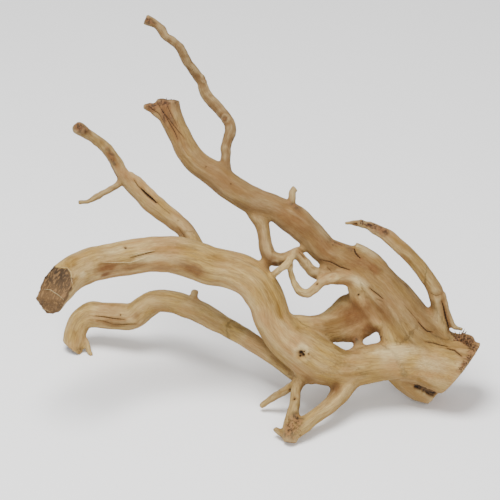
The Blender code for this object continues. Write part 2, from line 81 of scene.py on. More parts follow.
# Each strand: stations of (right, up, toward, half width[, half depth]), in millimetres.
STRANDS = {
    "arm": [
        (-173.5, 82.5, 61.0, 8.6), (-167.5, 92.0, 51.5, 9.8), (-160.5, 101.5, 43.5, 10.6),
        (-152.0, 110.5, 35.0, 10.7), (-140.0, 116.5, 27.0, 10.8), (-126.5, 119.5, 21.0, 10.7),
        (-113.5, 122.0, 17.0, 11.0), (-100.0, 124.0, 14.0, 11.0), (-86.5, 124.8, 12.0, 11.7),
        (-73.5, 122.5, 11.0, 12.4), (-60.0, 117.5, 10.0, 12.5), (-45.5, 114.5, 9.0, 12.6),
        (-32.0, 107.5, 9.0, 13.2), (-23.0, 94.5, 8.0, 12.9), (-18.0, 80.5, 7.0, 12.6),
        (-10.5, 70.0, 6.0, 13.3), (0.0, 62.0, 5.0, 14.5), (12.0, 54.5, 4.0, 14.8),
        (24.0, 50.0, 2.0, 12.5), (37.5, 49.5, 0.0, 10.8), (52.0, 52.0, -2.0, 10.5),
    ],
    "stump": [
        (28.0, 52.0, -1.0, 6.5), (38.5, 54.0, -2.0, 9.5), (48.0, 53.5, -3.0, 11.6),
        (60.0, 54.5, -4.0, 12.5), (73.5, 54.5, -5.0, 14.0), (86.5, 52.5, -6.0, 16.8),
        (98.0, 50.0, -7.0, 19.0), (108.0, 47.5, -8.0, 20.5), (120.0, 44.0, -9.0, 21.5),
    ],
    "crest": [
        (86.0, 60.0, -7.0, 10.0), (97.0, 63.5, -8.0, 9.5), (107.0, 61.5, -9.0, 8.8),
        (118.0, 54.0, -9.0, 8.0),
    ],
    "heel": [
        (58.0, 50.5, -10.0, 6.5, 9.0), (69.5, 43.5, -14.0, 8.6, 11.5),
        (78.5, 37.8, -16.5, 9.2, 13.5), (87.0, 34.3, -19.0, 8.8, 14.0),
        (96.0, 31.5, -20.5, 8.6, 13.5),
    ],
    "mast": [
        (93.0, 58.0, -8.0, 13.0), (82.5, 67.5, -8.0, 15.3), (72.0, 78.0, -7.0, 16.0),
        (62.0, 92.0, -6.0, 14.7), (50.0, 105.5, -5.0, 13.8), (38.5, 115.5, -4.0, 12.2),
        (28.0, 121.0, -2.0, 10.7), (16.5, 127.5, 0.0, 9.2), (5.5, 139.5, 2.0, 9.0),
        (-6.0, 148.5, 4.0, 9.5), (-18.0, 155.5, 6.0, 7.7), (-30.5, 159.8, 8.0, 8.5),
        (-43.5, 167.2, 11.0, 8.1), (-57.0, 177.2, 14.0, 7.8), (-67.5, 184.0, 15.0, 7.4),
        (-74.2, 191.5, 14.0, 7.4), (-79.1, 201.5, 12.0, 7.1), (-85.0, 213.0, 9.0, 7.6),
        (-87.0, 220.5, 8.0, 8.1), (-87.5, 230.0, 7.0, 7.0),
    ],
    "torn_lip": [
        (-86.0, 213.0, 9.0, 3.4), (-93.3, 218.7, 9.0, 4.2), (-98.8, 221.5, 9.0, 2.9),
        (-103.6, 222.0, 9.0, 1.6),
    ],
    "whip": [
        (-49.5, 176.5, 12.0, 4.2), (-49.5, 182.0, 12.0, 3.3), (-49.2, 188.5, 11.0, 3.0),
        (-49.0, 195.5, 9.0, 3.1), (-47.6, 200.5, 7.0, 3.4), (-46.0, 207.5, 4.0, 3.6),
        (-48.0, 213.5, 1.0, 3.4), (-52.9, 219.5, -3.0, 3.6), (-58.5, 225.5, -6.0, 3.5),
        (-63.0, 231.5, -8.0, 3.2), (-65.1, 237.5, -9.0, 3.0), (-68.6, 243.0, -9.0, 3.0),
        (-72.5, 248.5, -8.0, 3.0), (-76.0, 254.5, -6.0, 3.0), (-79.0, 260.5, -4.0, 3.1),
        (-84.0, 265.0, -3.0, 2.8), (-88.8, 268.3, -3.0, 2.7), (-91.9, 273.3, -4.0, 2.8),
        (-96.4, 276.8, -5.0, 2.7), (-103.0, 280.2, -5.0, 3.4),
    ],
    "fork": [
        (-67.5, 126.0, 0.0, 6.5), (-72.8, 135.5, -6.0, 6.0), (-77.0, 141.5, -9.0, 5.8),
        (-84.5, 146.8, -13.0, 5.6), (-91.5, 151.6, -16.0, 5.2), (-98.5, 156.5, -18.0, 4.9),
        (-104.8, 162.8, -20.0, 4.6), (-111.3, 169.5, -21.0, 4.4), (-116.5, 175.8, -22.0, 4.1),
        (-121.2, 184.0, -23.0, 3.9), (-125.8, 191.5, -24.0, 3.6), (-130.0, 196.5, -23.0, 3.2),
        (-136.5, 201.0, -20.0, 3.1), (-142.0, 204.8, -17.0, 3.4), (-146.3, 207.6, -14.0, 4.0),
        (-148.2, 208.4, -13.0, 3.4), (-149.4, 208.9, -12.5, 1.6),
    ],
    "fork_rib": [
        (-118.0, 177.0, -22.0, 2.0), (-112.5, 176.5, -20.0, 2.2), (-108.5, 174.0, -18.0, 2.3),
        (-102.5, 168.5, -17.0, 2.4), (-96.0, 161.5, -15.0, 2.6), (-89.5, 155.5, -13.0, 2.8),
        (-82.0, 149.5, -11.0, 2.8), (-77.0, 144.5, -10.0, 2.6),
    ],
    "fork_twig": [
        (-115.5, 175.5, -22.0, 2.4), (-122.0, 169.5, -20.0, 2.0), (-128.0, 166.2, -17.0, 1.9),
        (-134.5, 162.6, -14.0, 1.8), (-140.0, 159.8, -12.0, 1.6), (-146.5, 158.6, -11.0, 1.4),
    ],
    "hook": [
        (-32.5, 158.0, 6.0, 6.4), (-29.0, 150.5, 6.0, 5.6), (-25.3, 142.5, 7.0, 4.6),
        (-24.2, 135.5, 9.0, 4.2), (-23.0, 128.5, 10.0, 4.4), (-20.6, 123.2, 11.0, 4.7),
        (-14.5, 121.0, 10.0, 4.3), (-8.5, 122.5, 9.0, 3.4), (-3.0, 125.0, 8.0, 3.0),
        (0.5, 122.0, 8.5, 2.8), (4.3, 117.3, 8.0, 2.9), (8.7, 113.0, 7.0, 3.3),
        (14.0, 111.5, 4.0, 4.0), (20.0, 114.0, -1.0, 5.6), (29.0, 118.0, -2.0, 7.0),
    ],
    "bridge": [
        (-23.5, 105.5, 11.0, 2.6), (-18.5, 110.5, 15.0, 1.9), (-14.0, 114.5, 18.0, 1.8),
        (-9.5, 117.5, 18.0, 2.0), (-6.5, 122.0, 14.0, 2.3), (-4.0, 126.0, 9.0, 2.2),
        (-1.5, 128.0, 5.0, 1.8), (1.5, 125.0, 3.0, 1.6),
    ],
    "loop": [
        (-7.5, 121.0, 15.0, 2.2), (-7.0, 115.5, 14.0, 1.6), (-5.5, 109.5, 13.0, 1.7),
        (-3.0, 103.5, 13.0, 1.9), (0.5, 99.5, 13.0, 2.3), (4.5, 98.5, 12.0, 2.5),
        (9.0, 101.5, 11.0, 2.6), (13.5, 105.5, 10.0, 2.8), (18.5, 108.0, 9.0, 3.4),
        (24.5, 108.5, 8.0, 4.3), (31.5, 107.5, 7.0, 4.3), (37.5, 104.0, 5.0, 4.2),
        (44.0, 99.0, 1.0, 4.0),
    ],
    "thumb": [
        (-5.0, 151.5, 6.0, 4.2), (-6.0, 158.5, 7.0, 2.5), (-5.5, 162.5, 8.0, 2.0),
        (-5.3, 166.0, 8.0, 2.1), (-3.3, 168.0, 8.0, 2.2),
    ],
    "snag": [
        (35.5, 129.5, 1.0, 3.2), (40.5, 126.5, 0.0, 4.0), (46.5, 121.5, -1.0, 4.8),
        (53.5, 114.0, -3.0, 5.6),
    ],
    "sickle": [
        (93.0, 64.0, -6.0, 8.0), (92.0, 77.0, -5.0, 6.2), (91.0, 86.5, -3.0, 5.0),
        (90.3, 94.0, -1.0, 5.0), (88.2, 101.5, 1.0, 5.1), (82.7, 110.3, 4.0, 4.8),
        (76.3, 118.8, 6.0, 4.4), (69.8, 125.8, 8.0, 4.2), (63.4, 131.3, 9.0, 4.1),
        (57.0, 136.8, 9.0, 4.3), (50.5, 140.5, 8.0, 3.3), (44.0, 143.5, 6.0, 2.6),
        (36.5, 145.0, 3.0, 1.7), (29.0, 145.0, 0.0, 1.1),
    ],
    "splinter": [
        (93.0, 98.5, 1.0, 2.2), (96.2, 89.0, 0.0, 1.6), (98.6, 82.0, -1.0, 1.6),
        (101.5, 76.5, -1.0, 1.3), (107.0, 74.7, -1.0, 1.0),
    ],
    "web": [
        (-13.0, 79.0, 5.0, 6.5, 6.0), (-2.0, 77.5, 4.0, 7.0, 6.0), (10.5, 76.5, -1.0, 7.8, 5.6),
        (22.0, 78.0, -6.0, 12.0, 5.0), (33.5, 83.0, -8.5, 16.4, 6.2), (44.0, 88.0, -8.5, 16.0, 8.0),
        (56.0, 94.0, -8.0, 16.0, 8.0), (67.0, 94.0, -7.0, 12.0, 8.0),
    ],
    "fold": [
        (-7.5, 79.5, 5.0, 5.0, 6.5), (3.0, 74.5, 2.0, 6.5, 7.0), (12.0, 71.0, -2.0, 5.5, 6.0),
        (20.0, 73.0, -6.0, 5.0, 5.0),
    ],
    "flank": [
        (42.5, 98.0, -7.0, 7.0, 7.5), (52.0, 86.5, -7.5, 8.5, 8.5), (60.0, 76.0, -6.5, 8.0, 9.0),
        (68.0, 64.0, -5.0, 7.5, 9.0),
    ],
    "column": [
        (57.0, 96.0, -4.0, 8.0, 7.0), (58.5, 82.0, -4.5, 7.8, 7.5), (60.5, 70.0, -4.0, 8.2, 7.5),
        (65.0, 58.0, -5.0, 8.5, 8.0),
    ],
    "eave": [
        (35.0, 105.0, 4.0, 4.5), (38.5, 98.0, -1.5, 6.5), (44.5, 90.0, -5.0, 8.0),
        (52.0, 81.0, -7.0, 8.0),
    ],
    "torn_corner": [
        (97.0, 63.0, -7.0, 5.0), (103.5, 66.0, -6.5, 5.2), (109.5, 67.0, -6.0, 4.6),
        (113.5, 66.0, -6.0, 3.6),
    ],
    "stub": [
        (37.0, 73.0, -11.0, 4.0), (38.0, 66.0, -7.0, 2.8), (39.0, 58.0, -3.0, 4.2),
    ],
    "leg": [
        (-152.0, 57.0, -76.5, 6.4), (-150.0, 64.5, -76.5, 6.6), (-148.5, 73.0, -76.0, 6.8),
        (-144.5, 81.0, -75.0, 7.2), (-138.0, 84.5, -74.5, 7.9), (-129.5, 84.0, -72.0, 8.1),
        (-119.5, 83.5, -69.0, 8.4), (-110.5, 83.5, -65.5, 8.2), (-103.0, 89.0, -62.0, 7.8),
        (-96.5, 93.0, -58.5, 7.4), (-89.5, 93.5, -54.0, 7.3), (-79.5, 91.5, -49.0, 7.4),
        (-66.5, 86.5, -42.0, 7.3), (-52.0, 78.5, -34.0, 6.7), (-36.0, 69.5, -26.0, 6.0),
        (-22.5, 60.5, -18.0, 5.4), (-10.5, 50.5, -11.0, 4.6), (-2.5, 45.0, -5.0, 5.0),
        (7.0, 46.0, 0.0, 7.5),
    ],
    "leg_snag": [
        (-71.5, 91.0, -45.0, 3.2), (-69.5, 100.5, -45.0, 2.0),
    ],
    "leg_twig": [
        (-145.5, 73.5, -76.5, 2.6), (-141.5, 66.0, -74.5, 1.7), (-139.5, 61.0, -73.5, 1.4),
        (-138.0, 57.0, -72.5, 1.2),
    ],
    "prop": [
        (5.0, 48.0, 1.0, 6.5), (-0.5, 41.0, 3.0, 4.4), (-3.0, 34.5, 7.0, 3.2),
        (-3.5, 28.5, 11.0, 3.0), (-4.5, 22.5, 14.5, 3.4), (-5.5, 16.5, 17.5, 4.2),
        (-6.0, 10.5, 19.5, 5.2), (-6.5, 4.5, 21.0, 5.2), (-7.0, 0.5, 22.0, 4.2),
    ],
    "brace": [
        (33.0, 45.0, 0.0, 8.5), (27.5, 35.0, 1.0, 7.0), (22.5, 28.0, 5.5, 5.8),
        (16.0, 22.0, 10.5, 5.1), (8.0, 16.5, 14.5, 5.0), (1.5, 11.5, 18.0, 5.3),
        (-5.0, 6.5, 20.5, 5.0),
    ],
    "rootlet": [
        (-2.5, 39.5, 4.0, 3.2), (-8.0, 35.5, 0.0, 2.3), (-13.5, 32.5, -3.0, 2.2),
        (-20.0, 28.5, -7.5, 1.9), (-26.0, 24.0, -11.0, 1.4),
    ],
    "toe": [
        (-8.0, 4.0, 21.0, 3.2), (-12.5, 6.5, 18.5, 2.1), (-17.0, 9.5, 16.5, 1.2),
    ],
}

# The saw cut through the stump: a point on it and the way it faces, on the sheet.
SAW_POINT = (103.8, 47.4, -8.0)
SAW_FACING = (0.78, -0.62, -0.05)

# Each cut or break: the strand, a point on the cut and the way the cut faces, on the sheet.
CUTS = [
    ("arm", (-165.5, 93.0, 48.8), (-0.35, -0.45, 0.82)),
    ("arm", (-156.0, 94.3, 52.5), (-0.25, 0.45, 0.86)),
    ("stump", SAW_POINT, SAW_FACING),
    ("crest", SAW_POINT, SAW_FACING),
    ("heel", (90.0, 34.0, -18.0), (0.80, -0.60, 0.0)),
    ("mast", (-87.5, 226.5, 7.0), (0.05, 1.0, 0.1)),
    ("leg", (-150.5, 63.0, -76.5), (-0.60, -0.76, -0.25)),
    ("whip", (-102.0, 280.0, -5.0), (-0.95, 0.30, 0.0)),
]

# The front foot's place in the world, in metres, as the solid has it.
FRONT_FOOT = np.array([0.0192, -0.0812, 0.0])

# The picture: its width and the sheet's millimetres to a pixel, and the pixel at the sheet's zero.
PICTURE = 500
PIXEL = 0.66
PIXEL_RIGHT, PIXEL_UP = 300.45, 442.88
HUB_KNOT = (302, 354)

# The hollow under the stump's heel, painted dark inside as painted shade: its pixels, radius and
# depth in millimetres.
HEEL_HOLLOW_LINE = [(417, 386), (425, 389), (433, 394)]
HEEL_HOLLOW_RADIUS, HEEL_HOLLOW_DEPTH = 3.4, 2.2

# The arm's broken end, as an outline of pixels that runs well outside the wood where it can.
BREAK_OUTLINE = [
    (50, 261), (57, 267.8), (67.5, 268.9), (70.4, 273), (71, 279), (71.5, 285.6), (72.6, 289),
    (68, 293.6), (68, 297.6), (65.2, 302.5), (61.2, 309), (54, 320), (36, 314), (32, 290),
]

# How much browner than the rest some limbs are, from 0 to 1.
BROWNER = {
    "whip": 0.95, "fork": 0.4, "fork_twig": 0.6, "thumb": 0.5, "splinter": 0.6, "mast": 0.6,
    "torn_lip": 0.5, "hook": 0.4, "rootlet": 0.4, "toe": 0.6, "snag": 0.3, "sickle": 0.3,
    "leg_snag": 0.3, "prop": 0.25, "heel": 0.3,
}

# How the grain, the marks and the occlusion for the painted shade are worked out, with all lengths in
# millimetres.
# Each limb's grain starts a gap further along than the last, from a side askew to all limbs.
SEED = 7
GRAIN_BLEND = 1.6
GRAIN_STRETCH = 12.0
GRAIN_GAP = 61.0
ASKEW = (0.31, 0.62, 0.72)
FINE_ROUNDS = 2
FINE_MARGIN = 0.9
GROOVE = 1.4
BACK_CRACKS = 16
BACK_PITS = 14
OCCLUSION_RAYS = 10
OCCLUSION_REACH = 22.0
CUT_REACH = {"stump": 40.0, "arm": 16.0, "mast": 13.0, "leg": 12.0}

# %% [markdown]
# A limb is a tube of rings along a smooth line through its stations. A path with a bevel would be
# round everywhere, so the rings are placed in code: each has low lobes that twist slowly, as the
# flutes of a root do. Saw cuts and breaks are planes that cut the tube and close it.

# %% Loft a limb
def as_mesh(name, bm):
    """The mesh that was drawn in bm, under a name."""
    mesh = bpy.data.meshes.new(name)
    bm.to_mesh(mesh)
    bm.free()
    return mesh


def placed(name, data):
    """A new object of the scene that holds this mesh, camera or lamp."""
    thing = bpy.data.objects.new(name, data)
    bpy.context.scene.collection.objects.link(thing)
    return thing


def on_sheet(stations):
    """Stations as true millimetres right, up and toward: drawn sizes grow behind the sheet."""
    table = np.array([row if len(row) == 5 else (*row, row[3]) for row in stations])
    nearness = 1 - table[:, 2] / SIGHT
    true = table.copy()
    true[:, 0] = AIM_RIGHT + (table[:, 0] - AIM_RIGHT) * nearness
    true[:, 1] = AIM_UP + (table[:, 1] - AIM_UP) * nearness
    true[:, 3:] = (table[:, 3:] + SKIN_GROWTH) * nearness[:, None]
    return true


def point_on_sheet(place):
    """One drawn place as true millimetres right, up and toward."""
    return on_sheet([(*place, 0.0)])[0, :3]


def smooth_line(stations, step):
    """Points every step millimetres on a curve through the stations, with their half sizes."""
    lengths = np.linalg.norm(np.diff(stations[:, :3], axis=0), axis=1)
    knots = np.concatenate([[0.0], np.cumsum(lengths)])
    slopes = np.gradient(stations, knots, axis=0)
    places = np.linspace(0.0, knots[-1], max(3, math.ceil(knots[-1] / step) + 1))
    span = np.clip(np.searchsorted(knots, places, side="right") - 1, 0, len(lengths) - 1)
    size = lengths[span][:, None]
    t = (places - knots[span])[:, None] / size
    start, end = stations[span], stations[span + 1]
    curve = (
        (2 * t**3 - 3 * t**2 + 1) * start
        + (t**3 - 2 * t**2 + t) * size * slopes[span]
        + (3 * t**2 - 2 * t**3) * end
        + (t**3 - t**2) * size * slopes[span + 1]
    )
    return curve, places


def lobes(angle, along, phase):
    """How far the section bulges, as a share of its size: two slow twists of low ribs."""
    return (
        1
        + 0.045 * np.sin(2 * angle + phase + along / 38)
        + 0.035 * np.sin(3 * angle - phase + along / 26)
        + 0.02 * np.sin(5 * angle + 2 * phase - along / 17)
    )


def loft(bm, line, places, phase):
    """A tube of lobed, flattened rings along the line, closed at both ends."""
    tangents = np.gradient(line[:, :3], axis=0)
    tangents /= np.linalg.norm(tangents, axis=1)[:, None]
    across = np.cross([0.0, 0.0, 1.0], tangents)
    across /= np.linalg.norm(across, axis=1)[:, None]
    deep = np.cross(tangents, across)
    turn = np.arange(RING_SIDES) * 2 * math.pi / RING_SIDES
    rings = []
    for k, place in enumerate(places):
        bulge = lobes(turn, place, phase)[:, None]
        wide = line[k, 3] * np.cos(turn)[:, None] * across[k]
        thick = line[k, 4] * np.sin(turn)[:, None] * deep[k]
        rings.append([bm.verts.new(p) for p in line[k, :3] + bulge * (wide + thick)])
    for low, high in zip(rings, rings[1:]):
        for k in range(RING_SIDES):
            after = (k + 1) % RING_SIDES
            bm.faces.new((low[k], low[after], high[after], high[k]))
    bm.faces.new(rings[0][::-1])
    bm.faces.new(rings[-1])


def sawn(bm, point, normal):
    """Cuts off what lies past the plane and closes the cut."""
    everything = bm.verts[:] + bm.edges[:] + bm.faces[:]
    cut = bmesh.ops.bisect_plane(
        bm, geom=everything, plane_co=point, plane_no=normal, clear_outer=True
    )
    rim = [e for e in cut["geom_cut"] if isinstance(e, bmesh.types.BMEdge)]
    bmesh.ops.edgeloop_fill(bm, edges=rim)


# %% [markdown]
# The sheet is stood up in the world over the front foot, so that every limb lands where the
# solid's limb is, and a pixel of the photo becomes a line from the eye through the sheet.

# %% Stand the sheet up
def stood_up(points):
    """True millimetres on the sheet as metres in the world."""
    right, up, toward = (np.asarray(points) - point_on_sheet(FOOT)).T
    world = np.stack(
        [
            right,
            up * math.sin(LEAN) - toward * math.cos(LEAN),
            up * math.cos(LEAN) + toward * math.sin(LEAN) + FOOT_HEIGHT,
        ],
        axis=1,
    )
    return world * MM + FRONT_FOOT


def strand_mesh(name, stations, phase):
    """One limb as a closed mesh in the world, with its cuts made."""
    line, places = smooth_line(on_sheet(stations), RING_STEP)
    bm = bmesh.new()
    loft(bm, line, places, phase)
    for strand, point, normal in CUTS:
        if strand == name:
            sawn(bm, Vector(point_on_sheet(point)), Vector(normal).normalized())
    bmesh.ops.recalc_face_normals(bm, faces=bm.faces[:])
    for vertex, place in zip(bm.verts, stood_up([v.co[:] for v in bm.verts])):
        vertex.co = place
    return as_mesh(name, bm)


limbs = [
    strand_mesh(name, stations, RING_TWIST * index)
    for index, (name, stations) in enumerate(STRANDS.items())
]
print(len(limbs), "limbs lofted")

# %% [markdown]
# The camera stands where the photo was taken: the eye is 1.6 m in front of the sheet, level with
# the middle of the picture, so the lens follows from the picture's width on the sheet.

# %% Set the camera
eye = stood_up([(AIM_RIGHT, AIM_UP, SIGHT)])[0]
facing = Vector((0.0, math.cos(LEAN), -math.sin(LEAN)))
camera_data = bpy.data.cameras.new("photo_camera")
camera_data.sensor_width = 36.0
camera_data.lens = camera_data.sensor_width * SIGHT / (PICTURE * PIXEL)
camera_data.clip_start, camera_data.clip_end = 0.05, 20.0
camera = placed("photo_camera", camera_data)
camera.location = eye
camera.rotation_euler = facing.to_track_quat("-Z", "Y").to_euler()
bpy.context.scene.camera = camera
print("camera at", [round(v, 3) for v in eye], "lens", round(camera_data.lens, 1))

# %% [markdown]
# The limbs are fused on a fine grid, which welds them as growth would. A first, coarse and much
# smoothed skin fills the crotches between limbs; the limbs added to it keep their own size.

# %% Fuse the limbs into one skin
def joined(name, meshes):
    """One object that holds all these meshes, still loose from each other."""
    bm = bmesh.new()
    for mesh in meshes:
        bm.from_mesh(mesh)
    return placed(name, as_mesh(name, bm))


def fused(thing, grid, passes):
    """The object's mesh as one skin on a grid, smoothed that many times."""
    remesh = thing.modifiers.new("one skin", "REMESH")
    remesh.mode = "VOXEL"
    remesh.voxel_size = grid * MM
    smooth = thing.modifiers.new("weathered", "SMOOTH")
    smooth.factor = 0.5
    smooth.iterations = passes
    graph = bpy.context.evaluated_depsgraph_get()
    mesh = bpy.data.meshes.new_from_object(thing.evaluated_get(graph))
    bpy.data.objects.remove(thing)
    return mesh


fillets = fused(joined("fillets", limbs), FILLET_GRID, FILLET_PASSES)
skin = fused(joined("skin", [fillets, *limbs]), SKIN_GRID, SKIN_PASSES)
print("skin:", len(skin.polygons), "faces")

# %% [markdown]
# Every mark on the wood is placed by the pixel where the photo shows it, but it has to sit on the
# wood from any side. So a ray is cast from the eye through the pixel, and the mark goes where the
# ray meets the skin.

# %% Find the wood behind a pixel
surface = BVHTree.FromPolygons(
    [v.co.copy() for v in skin.vertices], [tuple(p.vertices) for p in skin.polygons]
)


def behind_pixel(x, y):
    """The point of the wood that the photo shows at this pixel, or the nearest one beside it."""
    across, up = (x - PIXEL_RIGHT) * PIXEL, (PIXEL_UP - y) * PIXEL
    on = Vector(stood_up([(across, up, 0.0)])[0])
    ray = (on - Vector(eye)).normalized()
    hit = surface.ray_cast(Vector(eye), ray)[0]
    return hit if hit is not None else surface.find_nearest(on)[0]


def seen_at(points):
    """The pixels of the photo where these points, in millimetres, are seen."""
    foot = point_on_sheet(FOOT)
    across, back, above = (points - FRONT_FOOT / MM).T
    above = above - FOOT_HEIGHT
    toward = foot[2] + above * math.sin(LEAN) - back * math.cos(LEAN)
    up = foot[1] + above * math.cos(LEAN) + back * math.sin(LEAN)
    nearness = 1 - toward / SIGHT
    drawn_right = AIM_RIGHT + (foot[0] + across - AIM_RIGHT) / nearness
    drawn_up = AIM_UP + (up - AIM_UP) / nearness
    return np.column_stack([PIXEL_RIGHT + drawn_right / PIXEL, PIXEL_UP - drawn_up / PIXEL])


def line_behind(pixels, step=0.4):
    """Points every step pixels along a line through these pixels, on the wood, in metres."""
    found = []
    for (x0, y0), (x1, y1) in zip(pixels, pixels[1:]):
        count = max(1, round(math.hypot(x1 - x0, y1 - y0) / step))
        for k in range(count):
            share = k / count
            found.append(behind_pixel(x0 + (x1 - x0) * share, y0 + (y1 - y0) * share))
    found.append(behind_pixel(*pixels[-1]))
    return np.array(found)


print("the hub's knot is at", [round(v, 4) for v in behind_pixel(*HUB_KNOT)])

# %% [markdown]
# Wood looks like wood because everything on it follows the grain. Object coordinates would run
# straight through a bent limb, so each point of the skin gets coordinates along its own limb:
# across, across and along a line that is carried down the limb without twisting. Where two limbs
# meet, a point keeps both sets and a share that fades from one to the other.

# %% Find the grain of each limb
def grain_lines():
    """For every limb: its line's points, three axes at each, radii and places, in millimetres."""
    lines = []
    for index, stations in enumerate(STRANDS.values()):
        line, places = smooth_line(on_sheet(stations), RING_STEP)
        points = stood_up(line[:, :3]) / MM
        along = np.gradient(points, axis=0)
        along /= np.linalg.norm(along, axis=1)[:, None]
        side = np.zeros_like(along)
        side[0] = np.cross(along[0], ASKEW)
        for k in range(1, len(along)):
            side[k] = side[k - 1] - along[k] * np.dot(side[k - 1], along[k])
        side /= np.linalg.norm(side, axis=1)[:, None]
        radius = np.minimum(line[:, 3], line[:, 4])
        lines.append((points, side, np.cross(along, side), along, radius, places + GRAIN_GAP * index))
    return lines


def grain_of(points):
    """Two sets of coordinates along the limbs nearest to each point, the share of the first,
    the way that the grain runs there, the limb's radius and how much browner it is."""
    lines = grain_lines()
    count = len(points)
    score = np.empty((count, len(lines)))
    nearest = np.empty((count, len(lines)), int)
    for j, (centre, _, _, _, radius, _) in enumerate(lines):
        squared = (
            (points**2).sum(1)[:, None] + (centre**2).sum(1)[None] - 2 * points @ centre.T
        )
        away = np.sqrt(np.maximum(squared, 0.0)) - radius[None]
        nearest[:, j] = away.argmin(1)
        score[:, j] = away[np.arange(count), nearest[:, j]]
    best_two = np.sort(np.argsort(score, axis=1)[:, :2], axis=1)
    tones = np.array([BROWNER.get(name, 0.0) for name in STRANDS])
    sets, runs, girths = [], [], []
    for pick in best_two.T:
        local, way, girth = np.empty((count, 3)), np.empty((count, 3)), np.empty(count)
        for j, (centre, side, deep, along, radius, places) in enumerate(lines):
            mine = np.where(pick == j)[0]
            k = nearest[mine, j]
            offset = points[mine] - centre[k]
            local[mine, 0] = (offset * side[k]).sum(1)
            local[mine, 1] = (offset * deep[k]).sum(1)
            local[mine, 2] = places[k] + (offset * along[k]).sum(1)
            way[mine] = along[k]
            girth[mine] = radius[k]
        sets.append(local)
        runs.append(way)
        girths.append(girth)
    rows = np.arange(count)
    gap = score[rows, best_two[:, 1]] - score[rows, best_two[:, 0]]
    share = 1 / (1 + np.exp(np.clip(-gap / GRAIN_BLEND, -30, 30)))
    run = np.where((share > 0.5)[:, None], runs[0], runs[1])
    girth = share * girths[0] + (1 - share) * girths[1]
    browner = share * tones[best_two[:, 0]] + (1 - share) * tones[best_two[:, 1]]
    return sets, share, run, girth, browner


def noise_at(points, size):
    """Soft noise between about -1 and 1 at each point; size is its width, or its three widths."""
    return np.array([noise.noise(p) for p in points / np.asarray(size, float)])


def smooth(value, low, high):
    """0 below low, 1 above high, and a soft step between."""
    t = np.clip((value - low) / (high - low), 0.0, 1.0)
    return t * t * (3 - 2 * t)


# %% [markdown]
# The marks are drawn where the photo shows them: cracks as lines with a width and a depth, pits
# and knots as rounds, and stains, painted shade and painted highlights as soft spots drawn out
# along the grain. The side that the photo doesn't show gets the same kinds of mark, drawn at
# random with a fixed seed.

# %% List the marks
# Each crack: width and depth in millimetres, and the pixels of the photo it runs through.
CRACKS = [
    (0.55, 0.8, [(320, 260), (330, 262), (340, 267), (350, 270)]),
    (0.40, 0.4, [(327, 267), (332, 272)]),
    (0.55, 0.8, [(369, 288), (374, 292), (383, 299)]),
    (0.35, 0.3, [(376, 299), (383, 302)]),
    (0.35, 0.4, [(404, 305), (411, 313), (418, 321)]),
    (0.60, 0.9, [(418, 321), (422, 326), (427, 331), (433, 332)]),
    (0.50, 0.6, [(425, 342), (433, 343), (440, 345), (450, 347)]),
    (0.70, 0.9, [(447, 348), (455, 350), (462, 356)]),
    (0.40, 0.5, [(163, 112), (175, 127), (185, 139)]),
    (0.45, 0.7, [(158, 105), (166, 117), (174, 131), (178, 140)]),
    (0.35, 0.5, [(166, 103), (171, 114), (178, 127)]),
    (0.35, 0.5, [(150, 108), (158, 113), (165, 124)]),
    (0.30, 0.4, [(431, 293), (436, 296), (441, 294)]),
    (0.80, 1.2, [(354, 248), (356, 253), (361, 258)]),
    (0.45, 0.6, [(134, 180), (138, 186), (143, 191)]),
    (0.95, 1.8, [(141, 189), (147, 195), (153, 200), (156, 203)]),
    (0.35, 0.3, [(156, 202), (170, 214)]),
    (0.70, 0.9, [(300, 252), (305, 258)]),
    (0.50, 0.5, [(130, 258), (141, 255), (152, 252)]),
    (0.40, 0.4, [(145, 253), (155, 252)]),
    (0.50, 0.7, [(95, 316), (105, 317), (113, 318.5), (125, 319.5)]),
    (0.40, 0.5, [(97, 321), (103, 321), (112, 323.5)]),
    (0.50, 0.6, [(112, 325), (120, 325.5), (128, 324.5), (137, 324)]),
    (0.75, 1.5, [(442, 301), (444, 308), (446, 318), (449, 328), (453, 335)]),
    (0.60, 0.7, [(456, 339), (462, 337), (468, 335)]),
]

# Each thin raised edge, such as a splinter's: half width, height and pixels.
RIDGES = [
    (0.42, 0.5, [(44, 289.6), (50.3, 290.2), (57, 294.2), (64, 300)]),
    (0.35, 0.3, [(58, 267.3), (67.5, 267.9), (71, 272.5), (71.6, 282), (73.8, 287.5)]),
    (0.35, 0.3, [(40.5, 305), (44, 309), (50, 311)]),
    (0.40, 0.4, [(103, 262.5), (130, 262.5), (150, 256)]),
    (0.40, 0.4, [(130, 256), (142, 253), (155, 250.5)]),
]

# Each pit: its pixel, radius and depth in millimetres.
PITS = [
    ((125.5, 248), 1.2, 0.9), ((206, 167), 0.7, 0.4), ((231, 184), 0.7, 0.4),
    ((358.5, 295), 0.9, 0.8), ((178, 220.5), 0.6, 0.4), ((194, 233), 0.6, 0.4),
    ((120.5, 315), 0.8, 0.6), ((317, 284), 0.9, 0.6), ((356, 224), 1.0, 0.8),
    ((294.5, 399), 1.0, 1.0), ((290, 390), 1.0, 0.8), ((419, 386), 1.4, 1.0),
    ((308.5, 354), 0.7, 0.6), ((301.0, 352.5), 1.9, 1.9), ((303.2, 355.0), 1.4, 1.8),
    ((300.2, 356.2), 1.0, 1.2), ((304.5, 351.5), 0.7, 0.8), ((355, 224.5), 1.1, 1.0),
]

# Each knot: its pixel, the radius of its swollen rim and how far the rim stands up.
KNOTS = [
    (HUB_KNOT, 4.8, 1.1), ((79, 128), 3.0, 0.7), ((204, 79), 2.2, 0.6), ((436, 295), 3.4, 0.4),
    ((225, 119), 2.6, 0.5), ((290, 266), 2.4, 0.5), ((333, 277), 2.6, 0.5), ((275, 264), 2.4, 0.4),
]

